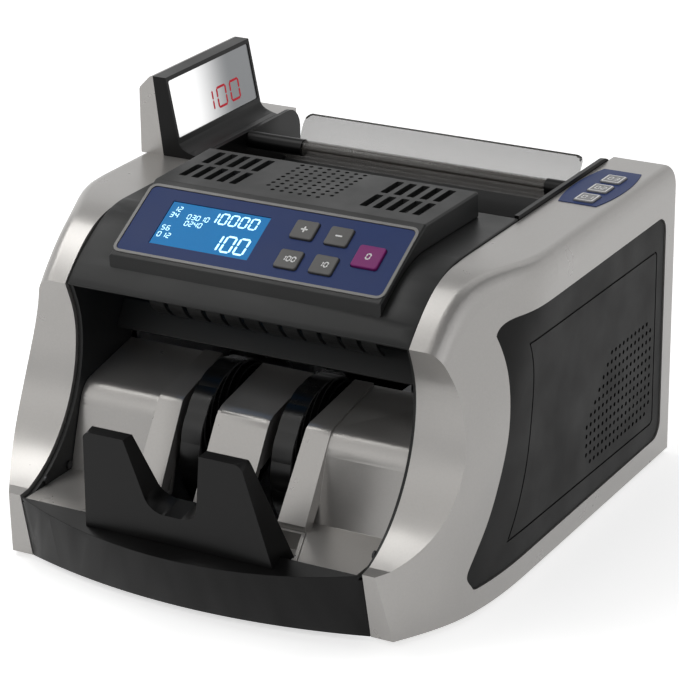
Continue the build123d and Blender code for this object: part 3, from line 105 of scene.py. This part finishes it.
def rayMask(tree, *kinds):
    path = addNode(tree, "LightPath")
    mask = path.outputs[kinds[0]]
    for kind in kinds[1:]:
        either = addNode(tree, "Math", operation="MAXIMUM")
        tree.links.new(mask, either.inputs[0])
        tree.links.new(path.outputs[kind], either.inputs[1])
        mask = either.outputs[0]
    return mask


def skyRamp(tree, height, span, levels):
    ramp = addNode(tree, "ValToRGB")
    for stop, place, level in zip(ramp.color_ramp.elements, span, levels):
        stop.position = place
        stop.color = (level, level, level, 1)
    tree.links.new(height, ramp.inputs["Fac"])
    return ramp.outputs["Color"]


def lightWorld(look):
    world = bpy.data.worlds.new("studio")
    bpy.context.scene.world = world
    world.use_nodes = True
    tree = world.node_tree
    tree.nodes.clear()
    out = addNode(tree, "OutputWorld")
    place = addNode(tree, "TexCoord")
    split = addNode(tree, "SeparateXYZ")
    tree.links.new(place.outputs["Generated"], split.inputs[0])
    soft = addNode(tree, "Background")
    soft.inputs["Strength"].default_value = look["strength"]
    height = split.outputs["Z"]
    tree.links.new(skyRamp(tree, height, look["softSpan"], look["soft"]), soft.inputs["Color"])
    seen = addNode(tree, "Background")
    tree.links.new(skyRamp(tree, height, look["glossSpan"], look["gloss"]), seen.inputs["Color"])
    white = addNode(tree, "Background")
    white.inputs["Color"].default_value = (1, 1, 1, 1)
    gloss = addNode(tree, "MixShader")
    tree.links.new(rayMask(tree, "Is Glossy Ray"), gloss.inputs["Fac"])
    tree.links.new(soft.outputs[0], gloss.inputs[1])
    tree.links.new(seen.outputs[0], gloss.inputs[2])
    mix = addNode(tree, "MixShader")
    tree.links.new(rayMask(tree, "Is Camera Ray", "Is Transmission Ray"), mix.inputs["Fac"])
    tree.links.new(gloss.outputs[0], mix.inputs[1])
    tree.links.new(white.outputs[0], mix.inputs[2])
    tree.links.new(mix.outputs[0], out.inputs["Surface"])


# half width in metres; the glow that the camera sees grows over the span, in metres from the middle
floorLook = {"half": 6.0, "colour": (0.86, 0.86, 0.86, 1), "glow": 0.62, "farGlow": 1.0, "span": (1.0, 4.0)}


def layFloor(look):
    mesh = bpy.data.meshes.new("floor")
    half = look["half"]
    corners = [(-half, -half, 0), (half, -half, 0), (half, half, 0), (-half, half, 0)]
    mesh.from_pydata(corners, [], [(0, 1, 2, 3)])
    floor = bpy.data.objects.new("floor", mesh)
    bpy.context.scene.collection.objects.link(floor)
    material = bpy.data.materials.new("floorPaper")
    material.use_nodes = True
    tree = material.node_tree
    tree.nodes.clear()
    out = addNode(tree, "OutputMaterial")
    matt = addNode(tree, "BsdfDiffuse")
    matt.inputs["Color"].default_value = look["colour"]
    glow = addNode(tree, "Emission")
    glow.inputs["Color"].default_value = (1, 1, 1, 1)
    place = addNode(tree, "TexCoord")
    reach = addNode(tree, "VectorMath", operation="LENGTH")
    tree.links.new(place.outputs["Object"], reach.inputs[0])
    growth = addNode(tree, "MapRange")
    growth.inputs["From Min"].default_value, growth.inputs["From Max"].default_value = look["span"]
    growth.inputs["To Min"].default_value = look["glow"]
    growth.inputs["To Max"].default_value = look["farGlow"]
    tree.links.new(reach.outputs["Value"], growth.inputs["Value"])
    tree.links.new(growth.outputs["Result"], glow.inputs["Strength"])
    both = addNode(tree, "AddShader")
    mix = addNode(tree, "MixShader")
    tree.links.new(matt.outputs[0], both.inputs[0])
    tree.links.new(glow.outputs[0], both.inputs[1])
    seen = rayMask(tree, "Is Camera Ray", "Is Transmission Ray", "Is Glossy Ray")
    tree.links.new(seen, mix.inputs["Fac"])
    tree.links.new(matt.outputs[0], mix.inputs[1])
    tree.links.new(both.outputs[0], mix.inputs[2])
    tree.links.new(mix.outputs[0], out.inputs["Surface"])
    floor.data.materials.append(material)


placeCamera(cameraLook)
for lampName, lampLook in lampLooks.items():
    hangLamp(lampName, lampLook)
lightWorld(worldLook)
layFloor(floorLook)
bpy.context.scene.view_settings.view_transform = "Standard"
print("camera, lamps and floor ready")

# colour, its lighter or darker drift, roughness range, fine grain per metre and its depth in mm
finishLooks = {
    "silverPaint": {"colour": (0.40, 0.388, 0.375), "drift": 0.04, "rough": (0.27, 0.34),
                    "grain": 900, "depth": 0.001, "metallic": 0.62},
    "rimGrey": {"colour": (0.17, 0.165, 0.16), "drift": 0.05, "rough": (0.34, 0.44),
                "grain": 2600, "depth": 0.006},
    "keySilver": {"colour": (0.24, 0.24, 0.245), "drift": 0.05, "rough": (0.36, 0.46),
                  "grain": 2600, "depth": 0.006, "metallic": 0.3},
    "charcoal": {"colour": (0.018, 0.0185, 0.0185), "drift": 0.10, "rough": (0.36, 0.50),
                 "grain": 2600, "depth": 0.02, "specular": 0.26},
    "blackPlastic": {"colour": (0.0045, 0.0044, 0.0045), "drift": 0.12, "rough": (0.28, 0.38),
                     "grain": 2400, "depth": 0.015, "specular": 0.16},
    # the side panel's turnedShade is painted shade on the panel's edges and groove walls
    "sidePanel": {"colour": (0.0080, 0.0078, 0.0076), "drift": 0.12, "rough": (0.50, 0.62),
                  "grain": 1500, "depth": 0.06, "specular": 0.16, "turnedShade": (0.003, 0.003, 0.003)},
    "panelBlue": {"colour": (0.015, 0.036, 0.140), "drift": 0.08, "rough": (0.34, 0.42),
                  "grain": 3500, "depth": 0.008, "specular": 0.12},
    "keyGrey": {"colour": (0.070, 0.068, 0.065), "drift": 0.10, "rough": (0.42, 0.55),
                "grain": 3000, "depth": 0.01},
    "keyMagenta": {"colour": (0.22, 0.018, 0.16), "drift": 0.08, "rough": (0.40, 0.50),
                   "grain": 3000, "depth": 0.01, "specular": 0.2},
    "whiteInk": {"colour": (0.80, 0.80, 0.80), "drift": 0.03, "rough": (0.45, 0.55),
                 "grain": 2500, "depth": 0.004},
    "zincSheet": {"colour": (0.52, 0.53, 0.54), "drift": 0.12, "rough": (0.30, 0.48),
                  "grain": 900, "depth": 0.01, "metallic": 1.0},
    "steel": {"colour": (0.56, 0.56, 0.57), "drift": 0.08, "rough": (0.20, 0.34),
              "grain": 2500, "depth": 0.006, "metallic": 1.0},
    "rubber": {"colour": (0.022, 0.022, 0.022), "drift": 0.15, "rough": (0.62, 0.80),
               "grain": 1800, "depth": 0.04},
    # the wheels' turnedShade darkens all but the blades' sideways faces, so those faces carry a painted
    # highlight
    "wheelPlastic": {"colour": (0.055, 0.055, 0.056), "drift": 0.10, "rough": (0.26, 0.36),
                     "grain": 2000, "depth": 0.01, "specular": 0.4, "turnedShade": (0.006, 0.006, 0.006)},
    "screwBlack": {"colour": (0.040, 0.040, 0.042), "drift": 0.10, "rough": (0.30, 0.42),
                   "grain": 2500, "depth": 0.006, "metallic": 0.9},
    "boardGreen": {"colour": (0.012, 0.090, 0.035), "drift": 0.15, "rough": (0.30, 0.45),
                   "grain": 1200, "depth": 0.01, "coat": 0.3, "coatRough": 0.2},
    "sheetEdge": {"colour": (0.030, 0.027, 0.024), "drift": 0.06, "rough": (0.20, 0.28),
                  "grain": 900, "depth": 0.001},
}
# what a finish has when its own entry says nothing
plainFinish = {"metallic": 0.0, "specular": 0.5, "alpha": 1.0, "coat": 0.0, "coatRough": 0.1}
# the large soft cloud and the fine grain that every finish is mixed from
noiseLook = {"cloud": 34.0, "cloudDetail": 4.0, "grainDetail": 2.0, "share": 0.5, "span": (0.3, 0.7),
             "bump": 0.6}
# how far a face may turn from the machine's left or right before the painted shade takes over
edgeTurn = (0.80, 0.96)


def mapRange(tree, source, low, high):
    spread = addNode(tree, "MapRange")
    spread.inputs["From Min"].default_value, spread.inputs["From Max"].default_value = noiseLook["span"]
    spread.inputs["To Min"].default_value = low
    spread.inputs["To Max"].default_value = high
    tree.links.new(source, spread.inputs["Value"])
    return spread.outputs["Result"]


# painted shade: a darker colour on the faces that don't point to the machine's left or right, so the side
# panels' edges and grooves look shaded and the wheel blades' sideways faces look lit
def shadeTurnedFaces(tree, place, shade, colour):
    split = addNode(tree, "SeparateXYZ")
    tree.links.new(place.outputs["Normal"], split.inputs[0])
    size = addNode(tree, "Math", operation="ABSOLUTE")
    tree.links.new(split.outputs["X"], size.inputs[0])
    turned = addNode(tree, "MapRange")
    turned.inputs["From Min"].default_value, turned.inputs["From Max"].default_value = edgeTurn
    tree.links.new(size.outputs[0], turned.inputs["Value"])
    mix = addNode(tree, "Mix", data_type="RGBA")
    mix.inputs["A"].default_value = (*colour, 1)
    tree.links.new(turned.outputs["Result"], mix.inputs["Factor"])
    tree.links.new(shade, mix.inputs["B"])
    return mix.outputs["Result"]


def makeFinish(name, look):
    look = {**plainFinish, **look}
    material = bpy.data.materials.new(name)
    material.use_nodes = True
    tree = material.node_tree
    shader = tree.nodes["Principled BSDF"]
    place = addNode(tree, "TexCoord")
    cloud = addNode(tree, "TexNoise")
    cloud.inputs["Scale"].default_value = noiseLook["cloud"]
    cloud.inputs["Detail"].default_value = noiseLook["cloudDetail"]
    grain = addNode(tree, "TexNoise")
    grain.inputs["Scale"].default_value = look["grain"]
    grain.inputs["Detail"].default_value = noiseLook["grainDetail"]
    for texture in (cloud, grain):
        tree.links.new(place.outputs["Object"], texture.inputs["Vector"])
    tint = addNode(tree, "Mix", data_type="RGBA")
    pale = [min(1.0, part * (1 + look["drift"])) for part in look["colour"]]
    deep = [part * (1 - look["drift"]) for part in look["colour"]]
    tint.inputs["A"].default_value = (*deep, 1)
    tint.inputs["B"].default_value = (*pale, 1)
    fine = addNode(tree, "Math", operation="MULTIPLY")
    fine.inputs[1].default_value = noiseLook["share"]
    tree.links.new(grain.outputs["Fac"], fine.inputs[0])
    mottle = addNode(tree, "Math", operation="MULTIPLY_ADD")
    mottle.inputs[1].default_value = noiseLook["share"]
    tree.links.new(cloud.outputs["Fac"], mottle.inputs[0])
    tree.links.new(fine.outputs[0], mottle.inputs[2])
    tree.links.new(mapRange(tree, mottle.outputs[0], 0.0, 1.0), tint.inputs["Factor"])
    shade = tint.outputs["Result"]
    # painted shade on faces turned from the machine's left or right
    if "turnedShade" in look:
        shade = shadeTurnedFaces(tree, place, shade, look["turnedShade"])
    tree.links.new(shade, shader.inputs["Base Color"])
    tree.links.new(mapRange(tree, cloud.outputs["Fac"], *look["rough"]), shader.inputs["Roughness"])
    bump = addNode(tree, "Bump")
    bump.inputs["Strength"].default_value = noiseLook["bump"]
    bump.inputs["Distance"].default_value = look["depth"] * mm
    tree.links.new(grain.outputs["Fac"], bump.inputs["Height"])
    tree.links.new(bump.outputs["Normal"], shader.inputs["Normal"])
    shader.inputs["Metallic"].default_value = look["metallic"]
    shader.inputs["Specular IOR Level"].default_value = look["specular"]
    shader.inputs["Alpha"].default_value = look["alpha"]
    shader.inputs["Coat Weight"].default_value = look["coat"]
    shader.inputs["Coat Roughness"].default_value = look["coatRough"]
    return material


finishes = {name: makeFinish(name, look) for name, look in finishLooks.items()}

# faces that shine by themselves: the lit screen, its ink and the red digits
litLooks = {
    "lcdGlow": {"colour": (0.0, 0.110, 0.29), "glow": 0.80, "rough": (0.18, 0.23)},
    "lcdInk": {"colour": (0.55, 0.90, 1.0), "glow": 0.85, "rough": (0.30, 0.35)},
    "redDigit": {"colour": (0.52, 0.015, 0.03), "glow": 0.45, "rough": (0.30, 0.35)},
}
litBase = {"drift": 0.06, "grain": 900, "depth": 0.001, "specular": 0.08}


def makeLit(name, look):
    material = makeFinish(name, {**litBase, **look})
    shader = material.node_tree.nodes["Principled BSDF"]
    shader.inputs["Emission Color"].default_value = (*look["colour"], 1)
    shader.inputs["Emission Strength"].default_value = look["glow"]
    return material


finishes.update({name: makeLit(name, look) for name, look in litLooks.items()})

# sheets that change along one axis: the half-silvered customer window, whose fade from pale to dark and
# whose glow are a painted reflection, and the smoked hopper cover, lighter low and darker high
fadeLooks = {
    "windowPaintedReflection": {"node": "display_window", "axis": 1, "span": (0.15, 0.75), "colour": (0.95, 0.95, 0.95),
                    "far": (0.16, 0.165, 0.17), "rough": (0.14, 0.18), "metallic": 0.6, "glow": 0.45,
                    "depth": 0.0002},
    "clearSheet": {"node": "hopper_cover", "axis": 2, "span": (0.45, 0.95), "colour": (0.26, 0.245, 0.23),
                   "far": (0.075, 0.068, 0.06), "rough": (0.20, 0.24), "glow": 0.0, "alpha": 0.42,
                   "depth": 0.0001},
}


def makeFade(name, look):
    material = makeFinish(name, {**look, "drift": 0.0, "grain": 900})
    tree = material.node_tree
    shader = tree.nodes["Principled BSDF"]
    low, high = (corner[look["axis"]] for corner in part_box(look["node"]))
    place = addNode(tree, "TexCoord")
    split = addNode(tree, "SeparateXYZ")
    along = addNode(tree, "MapRange", interpolation_type="SMOOTHSTEP")
    along.inputs["From Min"].default_value = low + look["span"][0] * (high - low)
    along.inputs["From Max"].default_value = low + look["span"][1] * (high - low)
    tint = addNode(tree, "Mix", data_type="RGBA")
    tint.inputs["A"].default_value = (*look["colour"], 1)
    tint.inputs["B"].default_value = (*look["far"], 1)
    tree.links.new(place.outputs["Object"], split.inputs[0])
    tree.links.new(split.outputs[look["axis"]], along.inputs["Value"])
    tree.links.new(along.outputs["Result"], tint.inputs["Factor"])
    tree.links.new(tint.outputs["Result"], shader.inputs["Base Color"])
    # only the window glows: its glow is part of its painted reflection, not a lamp
    if look["glow"]:
        tree.links.new(tint.outputs["Result"], shader.inputs["Emission Color"])
        shader.inputs["Emission Strength"].default_value = look["glow"]
    return material


finishes.update({name: makeFade(name, look) for name, look in fadeLooks.items()})

nodeFinishes = {
    "silverPaint": ("left_shell", "right_shell", "display_back_cover",
                    "stacker_left", "stacker_right", "stacker_centre"),
    "charcoal": ("control_housing", "hood", "hopper_slope", "feed_plate",
                 "inner_wall_left", "inner_wall_right", "exit_guide", "sensor_comb"),
    "blackPlastic": ("hopper_wall_left", "hopper_wall_right", "cover_caps", "front_bumper", "note_stop",
                     "display_bezel", "feed_gap_knob", "power_rocker", "power_inlet", "rear_cover",
                     "feed_gate"),
    "sidePanel": ("left_side_panel", "right_side_panel"),
    "panelBlue": ("panel_label", "function_label"),
    "keyGrey": ("plus_key", "minus_key", "batch_key", "add_key"),
    "keySilver": ("function_key_1", "function_key_2", "function_key_3"),
    "keyMagenta": ("reset_key",),
    "zincSheet": ("base_plate", "side_frame_left", "side_frame_right", "transport_plate", "power_supply"),
    "screwBlack": ("screws",),
    "steel": ("main_motor", "motor_pulley"),
    "rimGrey": ("cover_rod",),
    "rubber": ("feet", "pickup_rollers", "feed_rollers", "counting_rollers", "pressure_rollers",
               "drive_belts"),
    "wheelPlastic": ("stacking_wheels",),
    "boardGreen": ("key_board", "function_board", "display_board", "main_board"),
    "windowPaintedReflection": ("display_window",),
    "lcdGlow": ("lcd_module",),
    "clearSheet": ("hopper_cover",),
}


def dressNode(node, material):
    piece = nodes[node]
    piece.data.materials.clear()
    piece.data.materials.append(material)


for finishName, names in nodeFinishes.items():
    for name in names:
        dressNode(name, finishes[finishName])
bare = sorted(set(nodes) - {name for names in nodeFinishes.values() for name in names})
print("finishes on", len(nodes) - len(bare), "nodes, still bare:", bare)

# edges of the moulded parts, rounded in mm
edgeLooks = {
    "note_stop": 1.1, "front_bumper": 0.9, "display_bezel": 1.6, "stacker_left": 0.8, "stacker_right": 0.8,
    "stacker_centre": 0.8, "hood": 0.8, "hopper_cover": 0.2, "hopper_slope": 0.5, "feed_plate": 0.5,
    "exit_guide": 0.4, "power_inlet": 0.5,
}
# points nearer than this many mm are joined and faces flatter than this many degrees merged
edgeStyle = {"join": 0.01, "flat": 1.0, "sharp": 40, "segments": 3}
evenLook = {"nodes": ("left_shell", "right_shell"), "weight": 80}


def addBevel(piece, width, segments, sharp):
    bevel = piece.modifiers.new("roundedEdges", "BEVEL")
    bevel.width = width * mm
    bevel.segments = segments
    bevel.limit_method = "ANGLE"
    bevel.angle_limit = math.radians(sharp)
    return bevel


def roundEdges(node, width):
    piece = nodes[node]
    join = piece.modifiers.new("joinSeams", "WELD")
    join.merge_threshold = edgeStyle["join"] * mm
    flat = piece.modifiers.new("mergeFlats", "DECIMATE")
    flat.decimate_type = "DISSOLVE"
    flat.angle_limit = math.radians(edgeStyle["flat"])
    bevel = addBevel(piece, width, edgeStyle["segments"], edgeStyle["sharp"])
    bevel.use_clamp_overlap = True
    bevel.harden_normals = True


def evenShading(node, weight):
    even = nodes[node].modifiers.new("evenNormals", "WEIGHTED_NORMAL")
    even.weight = weight
    even.keep_sharp = True


for nodeName, edgeWidth in edgeLooks.items():
    roundEdges(nodeName, edgeWidth)
for nodeName in evenLook["nodes"]:
    evenShading(nodeName, evenLook["weight"])
print("edges rounded on", len(edgeLooks), "nodes, shading evened on", len(evenLook["nodes"]))


# Flat marks and rims: outlines in mm on a face, raised a little, all one mesh.
# The face is what lies within this many mm of the node's furthest point.
faceDepth = 0.02


def crown(node, normal):
    corners = [vertex.co for vertex in nodes[node].data.vertices]
    top = max(corner.dot(normal) for corner in corners)
    face = [corner for corner in corners if corner.dot(normal) > top - faceDepth * mm]
    low = Vector([min(corner[axis] for corner in face) for axis in range(3)])
    high = Vector([max(corner[axis] for corner in face) for axis in range(3)])
    return (low + high) / 2


def faceFrame(node, right, normal):
    up = normal.cross(right).normalized()
    turn = Matrix((right, up, normal)).transposed().to_4x4()
    return Matrix.Translation(crown(node, normal)) @ turn


def closeMesh(name, build, place=None):
    mesh = bpy.data.meshes.new(name)
    bmesh.ops.recalc_face_normals(build, faces=build.faces)
    build.to_mesh(mesh)
    build.free()
    if place is not None:
        mesh.transform(place)
    return mesh


# walls between two rings of points
def joinRings(build, first, second):
    for index in range(len(first)):
        after = (index + 1) % len(first)
        build.faces.new((first[index], first[after], second[after], second[index]))


def raiseOutlines(name, outlines, face, lift, height):
    build = bmesh.new()
    for outline in outlines:
        low = [build.verts.new((x * mm, y * mm, lift * mm)) for x, y in outline]
        high = [build.verts.new((x * mm, y * mm, (lift + height) * mm)) for x, y in outline]
        build.faces.new(high)
        build.faces.new(low[::-1])
        joinRings(build, low, high)
    return closeMesh(name, build, face)


def addPiece(name, mesh, finish, body):
    piece = bpy.data.objects.new(name, mesh)
    bpy.context.scene.collection.objects.link(piece)
    mesh.materials.append(finishes[finish])
    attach(piece, body)
    return piece


def stroke(start, end, width):
    along = (Vector(end) - Vector(start)).normalized() * width / 2
    side = Vector((-along.y, along.x))
    near = Vector(start)
    far = Vector(end)
    return [tuple(point) for point in (near, near + along - side, far - along - side, far,
                                       far - along + side, near + along + side)]


# digits of seven strokes, lettered a to g clockwise from the top with g in the middle
digitStrokes = {"0": "abcdef", "1": "bc", "2": "abged", "3": "abgcd", "4": "fgbc", "5": "afgcd",
                "6": "afgedc"}
strokeGap = 0.12


def digitOutlines(text, centre, height, width, pitch, line, lean):
    outlines = []
    first = centre[0] - pitch * (len(text) - 1) / 2
    gapSize = line * strokeGap
    for place, digit in enumerate(text):
        left = first + place * pitch - width / 2
        right = left + width
        low = centre[1] - height / 2
        middle = centre[1]
        high = centre[1] + height / 2
        ends = {"a": ((left, high), (right, high)), "b": ((right, high), (right, middle)),
                "c": ((right, middle), (right, low)), "d": ((left, low), (right, low)),
                "e": ((left, middle), (left, low)), "f": ((left, high), (left, middle)),
                "g": ((left, middle), (right, middle))}
        for part in digitStrokes[digit]:
            start, end = (Vector(point) for point in ends[part])
            trim = (end - start).normalized() * gapSize
            outline = stroke(start + trim, end - trim, line)
            outlines.append([(x + (y - low) * lean, y) for x, y in outline])
    return outlines


def roundRect(width, height, corner, steps=5):
    points = []
    for index, (sideX, sideY) in enumerate(((1, 1), (-1, 1), (-1, -1), (1, -1))):
        for step in range(steps + 1):
            angle = math.radians(90 * index + 90 * step / steps)
            points.append((sideX * (width / 2 - corner) + corner * math.cos(angle),
                           sideY * (height / 2 - corner) + corner * math.sin(angle)))
    return points


def rimMesh(name, outer, inner, face, lift, height):
    build = bmesh.new()
    loops = []
    for outline, level in ((outer, lift), (outer, lift + height), (inner, lift + height), (inner, lift)):
        loops.append([build.verts.new((x * mm, y * mm, level * mm)) for x, y in outline])
    for index, first in enumerate(loops):
        joinRings(build, first, loops[(index + 1) % len(loops)])
    return closeMesh(name, build, face)


# Operator panel: a raised rim round the label, whose grey, lighter than the housing, is a painted highlight
# on the label's edge, numbers on the lit screen and marks on the keys
panelNormal = -Vector(joints["plus_key_press"]["axis"]).normalized()
across = Vector((1, 0, 0))
labelFace = faceFrame("panel_label", across, panelNormal)
panelRim = {"inner": (161.6, 47.0), "outer": (165.0, 50.4), "innerCorner": 3.2, "outerCorner": 4.8,
            "lift": -0.1, "height": 0.5}
rim = rimMesh("panelRim", roundRect(*panelRim["outer"], panelRim["outerCorner"]),
              roundRect(*panelRim["inner"], panelRim["innerCorner"]), labelFace,
              panelRim["lift"], panelRim["height"])
# the rim is raised; its lighter grey is a painted highlight
addPiece("panelRim", rim, "rimGrey", "machine")

# text, centre, height, digit width, pitch and stroke in mm
lcdNumbers = {
    "totalNumber": ("10000", (10.2, 9.1), 7.2, 4.2, 6.2, 1.0),
    "batchNumber": ("100", (14.8, -7.2), 10.8, 5.6, 8.2, 1.25),
    "modeNumbers": ("12", (-25.3, 10.8), 3.2, 1.8, 2.9, 0.5),
    "senseNumbers": ("34", (-25.6, 6.3), 3.2, 1.8, 2.9, 0.5),
    "doubleNumbers": ("56", (-26.0, -3.2), 3.2, 1.8, 2.9, 0.5),
    "sumNumbers": ("012", (-24.8, -8.2), 3.2, 1.8, 2.9, 0.5),
    "batchMarks": ("03010", (-10.8, 6.7), 3.2, 1.8, 2.8, 0.5),
    "autoMarks": ("0240", (-11.6, 2.0), 3.2, 1.8, 2.8, 0.5),
}
lcdInkLook = {"lean": 0.04, "lift": 0.01, "height": 0.08}
screenFace = faceFrame("lcd_module", across, panelNormal)
for name, (text, centre, height, digitWidth, pitch, line) in lcdNumbers.items():
    outlines = digitOutlines(text, centre, height, digitWidth, pitch, line, lcdInkLook["lean"])
    mesh = raiseOutlines(name, outlines, screenFace, lcdInkLook["lift"], lcdInkLook["height"])
    addPiece(name, mesh, "lcdInk", "machine")

# marks printed on the keys, in mm from the middle of each key
keyInk = {"lift": 0.005, "height": 0.06}
signSize = {"reach": 2.2, "line": 1.0}
levelStroke = stroke((-signSize["reach"], 0), (signSize["reach"], 0), signSize["line"])
uprightStroke = stroke((0, -signSize["reach"]), (0, signSize["reach"]), signSize["line"])
keyMarks = {
    "plus_key": [levelStroke, uprightStroke],
    "minus_key": [levelStroke],
    "batch_key": digitOutlines("100", (0, 0), 3.2, 1.9, 3.0, 0.7, 0.08),
    "add_key": digitOutlines("10", (0, 0), 3.2, 1.9, 3.0, 0.7, 0.08),
    "reset_key": digitOutlines("0", (0, 0), 3.6, 2.2, 3.0, 0.7, 0.08),
}


def markKey(key, outlines, face):
    mark = raiseOutlines(key + "_mark", outlines, face, keyInk["lift"], keyInk["height"])
    addPiece(key + "_mark", mark, "whiteInk", key)


for key, outlines in keyMarks.items():
    markKey(key, outlines, faceFrame(key, across, panelNormal))

# Function keys: a white line round each, with a number
functionLine = {"size": (10.6, 11.6), "corner": 1.0, "innerCorner": 0.52, "width": 0.8}
functionNumber = {"height": 4.2, "width": 2.2, "pitch": 3.6, "line": 0.7, "lean": 0.05}
functionOuter = roundRect(*functionLine["size"], functionLine["corner"])
functionInner = roundRect(*[side - 2 * functionLine["width"] for side in functionLine["size"]],
                          functionLine["innerCorner"])
for number in (1, 2, 3):
    key = "function_key_%d" % number
    face = faceFrame(key, across, Vector((0, 0, 1)))
    line = rimMesh(key + "_line", functionOuter, functionInner, face, keyInk["lift"], keyInk["height"])
    addPiece(key + "_line", line, "whiteInk", key)
    markKey(key, digitOutlines("0%d" % number, (0, 0), **functionNumber), face)

# Customer window: red number towards the user's end of the half-silvered sheet, in mm and degrees
customerNumber = {"text": "100", "centre": (7.8, -5.6), "height": 11.4, "width": 9.4, "pitch": 14.6,
                  "line": 1.35, "lean": 0.03}
customerPlace = {"windowLean": 11.34, "lift": 0.01, "height": 0.1}
windowLean = math.radians(customerPlace["windowLean"])
windowNormal = Vector((math.cos(windowLean), 0, math.sin(windowLean)))
windowFace = faceFrame("display_window", Vector((0, 1, 0)), windowNormal)
redNumber = raiseOutlines("customerNumber", digitOutlines(**customerNumber), windowFace,
                          customerPlace["lift"], customerPlace["height"])
addPiece("customerNumber", redNumber, "redDigit", "machine")
print("marks and numbers placed")

# Strips across the machine: each has an upper and an under line of (y, z) points, a left and a right side
stripEdge = {"segments": 2, "sharp": 50}


def thickenStrip(build, line, under, left, right):
    outline = line + under[::-1]
    ends = []
    for x in (left, right):
        ends.append([build.verts.new((x * mm, y, z)) for y, z in outline])
    build.faces.new(ends[0])
    build.faces.new(ends[1][::-1])
    joinRings(build, *ends)


def buildStrips(name, strips, finish, edge):
    build = bmesh.new()
    for line, under, left, right in strips:
        thickenStrip(build, line, under, left, right)
    piece = addPiece(name, closeMesh(name, build), finish, "machine")
    addBevel(piece, edge, stripEdge["segments"], stripEdge["sharp"])


# Guide fingers in the throat: a row of plates that slope down to the rear from a rail between the walls.
# All in mm; behind and below place the row from the front and foot of the hood.
throat = {"behind": 31.3, "below": 11.0, "drop": 13.5, "back": 10.5, "thick": 1.6, "first": -74.0,
          "pitch": 11.9, "gap": 2.6, "count": 12, "steps": 6, "edge": 0.35}
# share of the straight slope in the way back and in the drop, and how the thickness lies in y and z
throatBend = {"back": 0.35, "drop": 1.15, "thick": (0.8, 0.6)}
throatRail = {"ahead": 1.0, "height": 4.5, "depth": 6.0}
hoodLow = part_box("hood")[0]
throatFront = hoodLow[1] + throat["behind"] * mm
throatTop = hoodLow[2] - throat["below"] * mm


def throatPoint(share, under=0.0):
    bend = share * share
    run = throatBend["back"] * share + (1 - throatBend["back"]) * bend
    fall = throatBend["drop"] * share + (1 - throatBend["drop"]) * bend
    return (throatFront + (throat["back"] * run + under * throatBend["thick"][0]) * mm,
            throatTop - (throat["drop"] * fall - under * throatBend["thick"][1]) * mm)


def throatStrips():
    shares = [step / throat["steps"] for step in range(throat["steps"] + 1)]
    fingerLine = [throatPoint(share) for share in shares]
    fingerUnder = [throatPoint(share, throat["thick"]) for share in shares]
    railFront = throatFront - throatRail["ahead"] * mm
    railRear = railFront + throatRail["depth"] * mm
    railTop = throatTop + throatRail["height"] * mm
    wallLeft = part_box("inner_wall_left")[1][0] / mm
    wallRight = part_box("inner_wall_right")[0][0] / mm
    strips = [([(railFront, throatTop), (railFront, railTop)], [(railRear, throatTop), (railRear, railTop)],
               wallLeft, wallRight)]
    for index in range(throat["count"]):
        start = throat["first"] + index * throat["pitch"]
        strips.append((fingerLine, fingerUnder, start + throat["gap"] / 2,
                       start + throat["pitch"] - throat["gap"] / 2))
    return strips


buildStrips("throatFingers", throatStrips(), "charcoal", throat["edge"])
print("throat fingers placed")

# Painted shade: a dark sheet in each side panel, at the bottom of its vent holes, so the holes look
# shadowed: distances from the panel's box in mm
ventShadeSheet = {"inside": 0.1, "thick": 0.25, "rear": 9.0, "front": 125.0, "low": 9.0, "high": 90.0,
             "edge": 0.05}


def shadeVentHoles(side, outward, look):
    panel = side + "_side_panel"
    low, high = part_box(panel)
    front, back = high[1] - look["front"] * mm, high[1] - look["rear"] * mm
    floor, roof = low[2] + look["low"] * mm, low[2] + look["high"] * mm
    corners = [vertex.co for vertex in nodes[panel].data.vertices]
    inner = min(abs(corner.x) for corner in corners
                if front < corner.y < back and floor < corner.z < roof)
    near = outward * (inner / mm + look["inside"])
    far = near + outward * look["thick"]
    strip = ([(front, floor), (front, roof)], [(back, floor), (back, roof)], min(near, far), max(near, far))
    # the dark sheet is painted shade behind the vent holes
    buildStrips(side + "VentShadeSheet", [strip], "blackPlastic", look["edge"])


shadeVentHoles("left", -1, ventShadeSheet)
shadeVentHoles("right", 1, ventShadeSheet)
print("vent sheets placed")

# Dark line along the free edge of the cover: its radius and how far it is sunk into the edge in mm,
# and how far below the top and ahead of the rear the edge's points are looked for
coverLine = {"radius": 0.5, "sunk": 0.5, "ahead": 0.15, "reach": 2.5, "run": 12.0, "rings": 3}


# whether the middle point lies on or under the line between the other two
def turnsUp(first, second, third):
    return (second.x - first.x) * (third.z - first.z) - (second.z - first.z) * (third.x - first.x) >= 0


def lineCover(look):
    rear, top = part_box("hopper_cover")[1][1:]
    spots = {}
    for vertex in nodes["hopper_cover"].data.vertices:
        spot = vertex.co
        key = (round(spot.x / mm, 2), round(spot.z / mm, 2))
        near = spot.z > top - look["reach"] * mm and spot.y > rear - look["run"] * mm
        if near and (key not in spots or spot.y < spots[key].y):
            spots[key] = spot.copy()
    line = []
    for key in sorted(spots):
        while len(line) > 1 and turnsUp(line[-2], line[-1], spots[key]):
            line.pop()
        line.append(spots[key])
    curve = bpy.data.curves.new("coverLine", "CURVE")
    curve.dimensions = "3D"
    curve.bevel_depth = look["radius"] * mm
    curve.bevel_resolution = look["rings"]
    curve.use_fill_caps = True
    spline = curve.splines.new("POLY")
    spline.points.add(len(line) - 1)
    shift = Vector((0, look["ahead"], look["sunk"])) * mm
    for point, spot in zip(spline.points, line):
        point.co = (*(spot - shift), 1)
    addPiece("coverLine", curve, "sheetEdge", "hopper_cover")


lineCover(coverLine)
print("cover edge drawn")
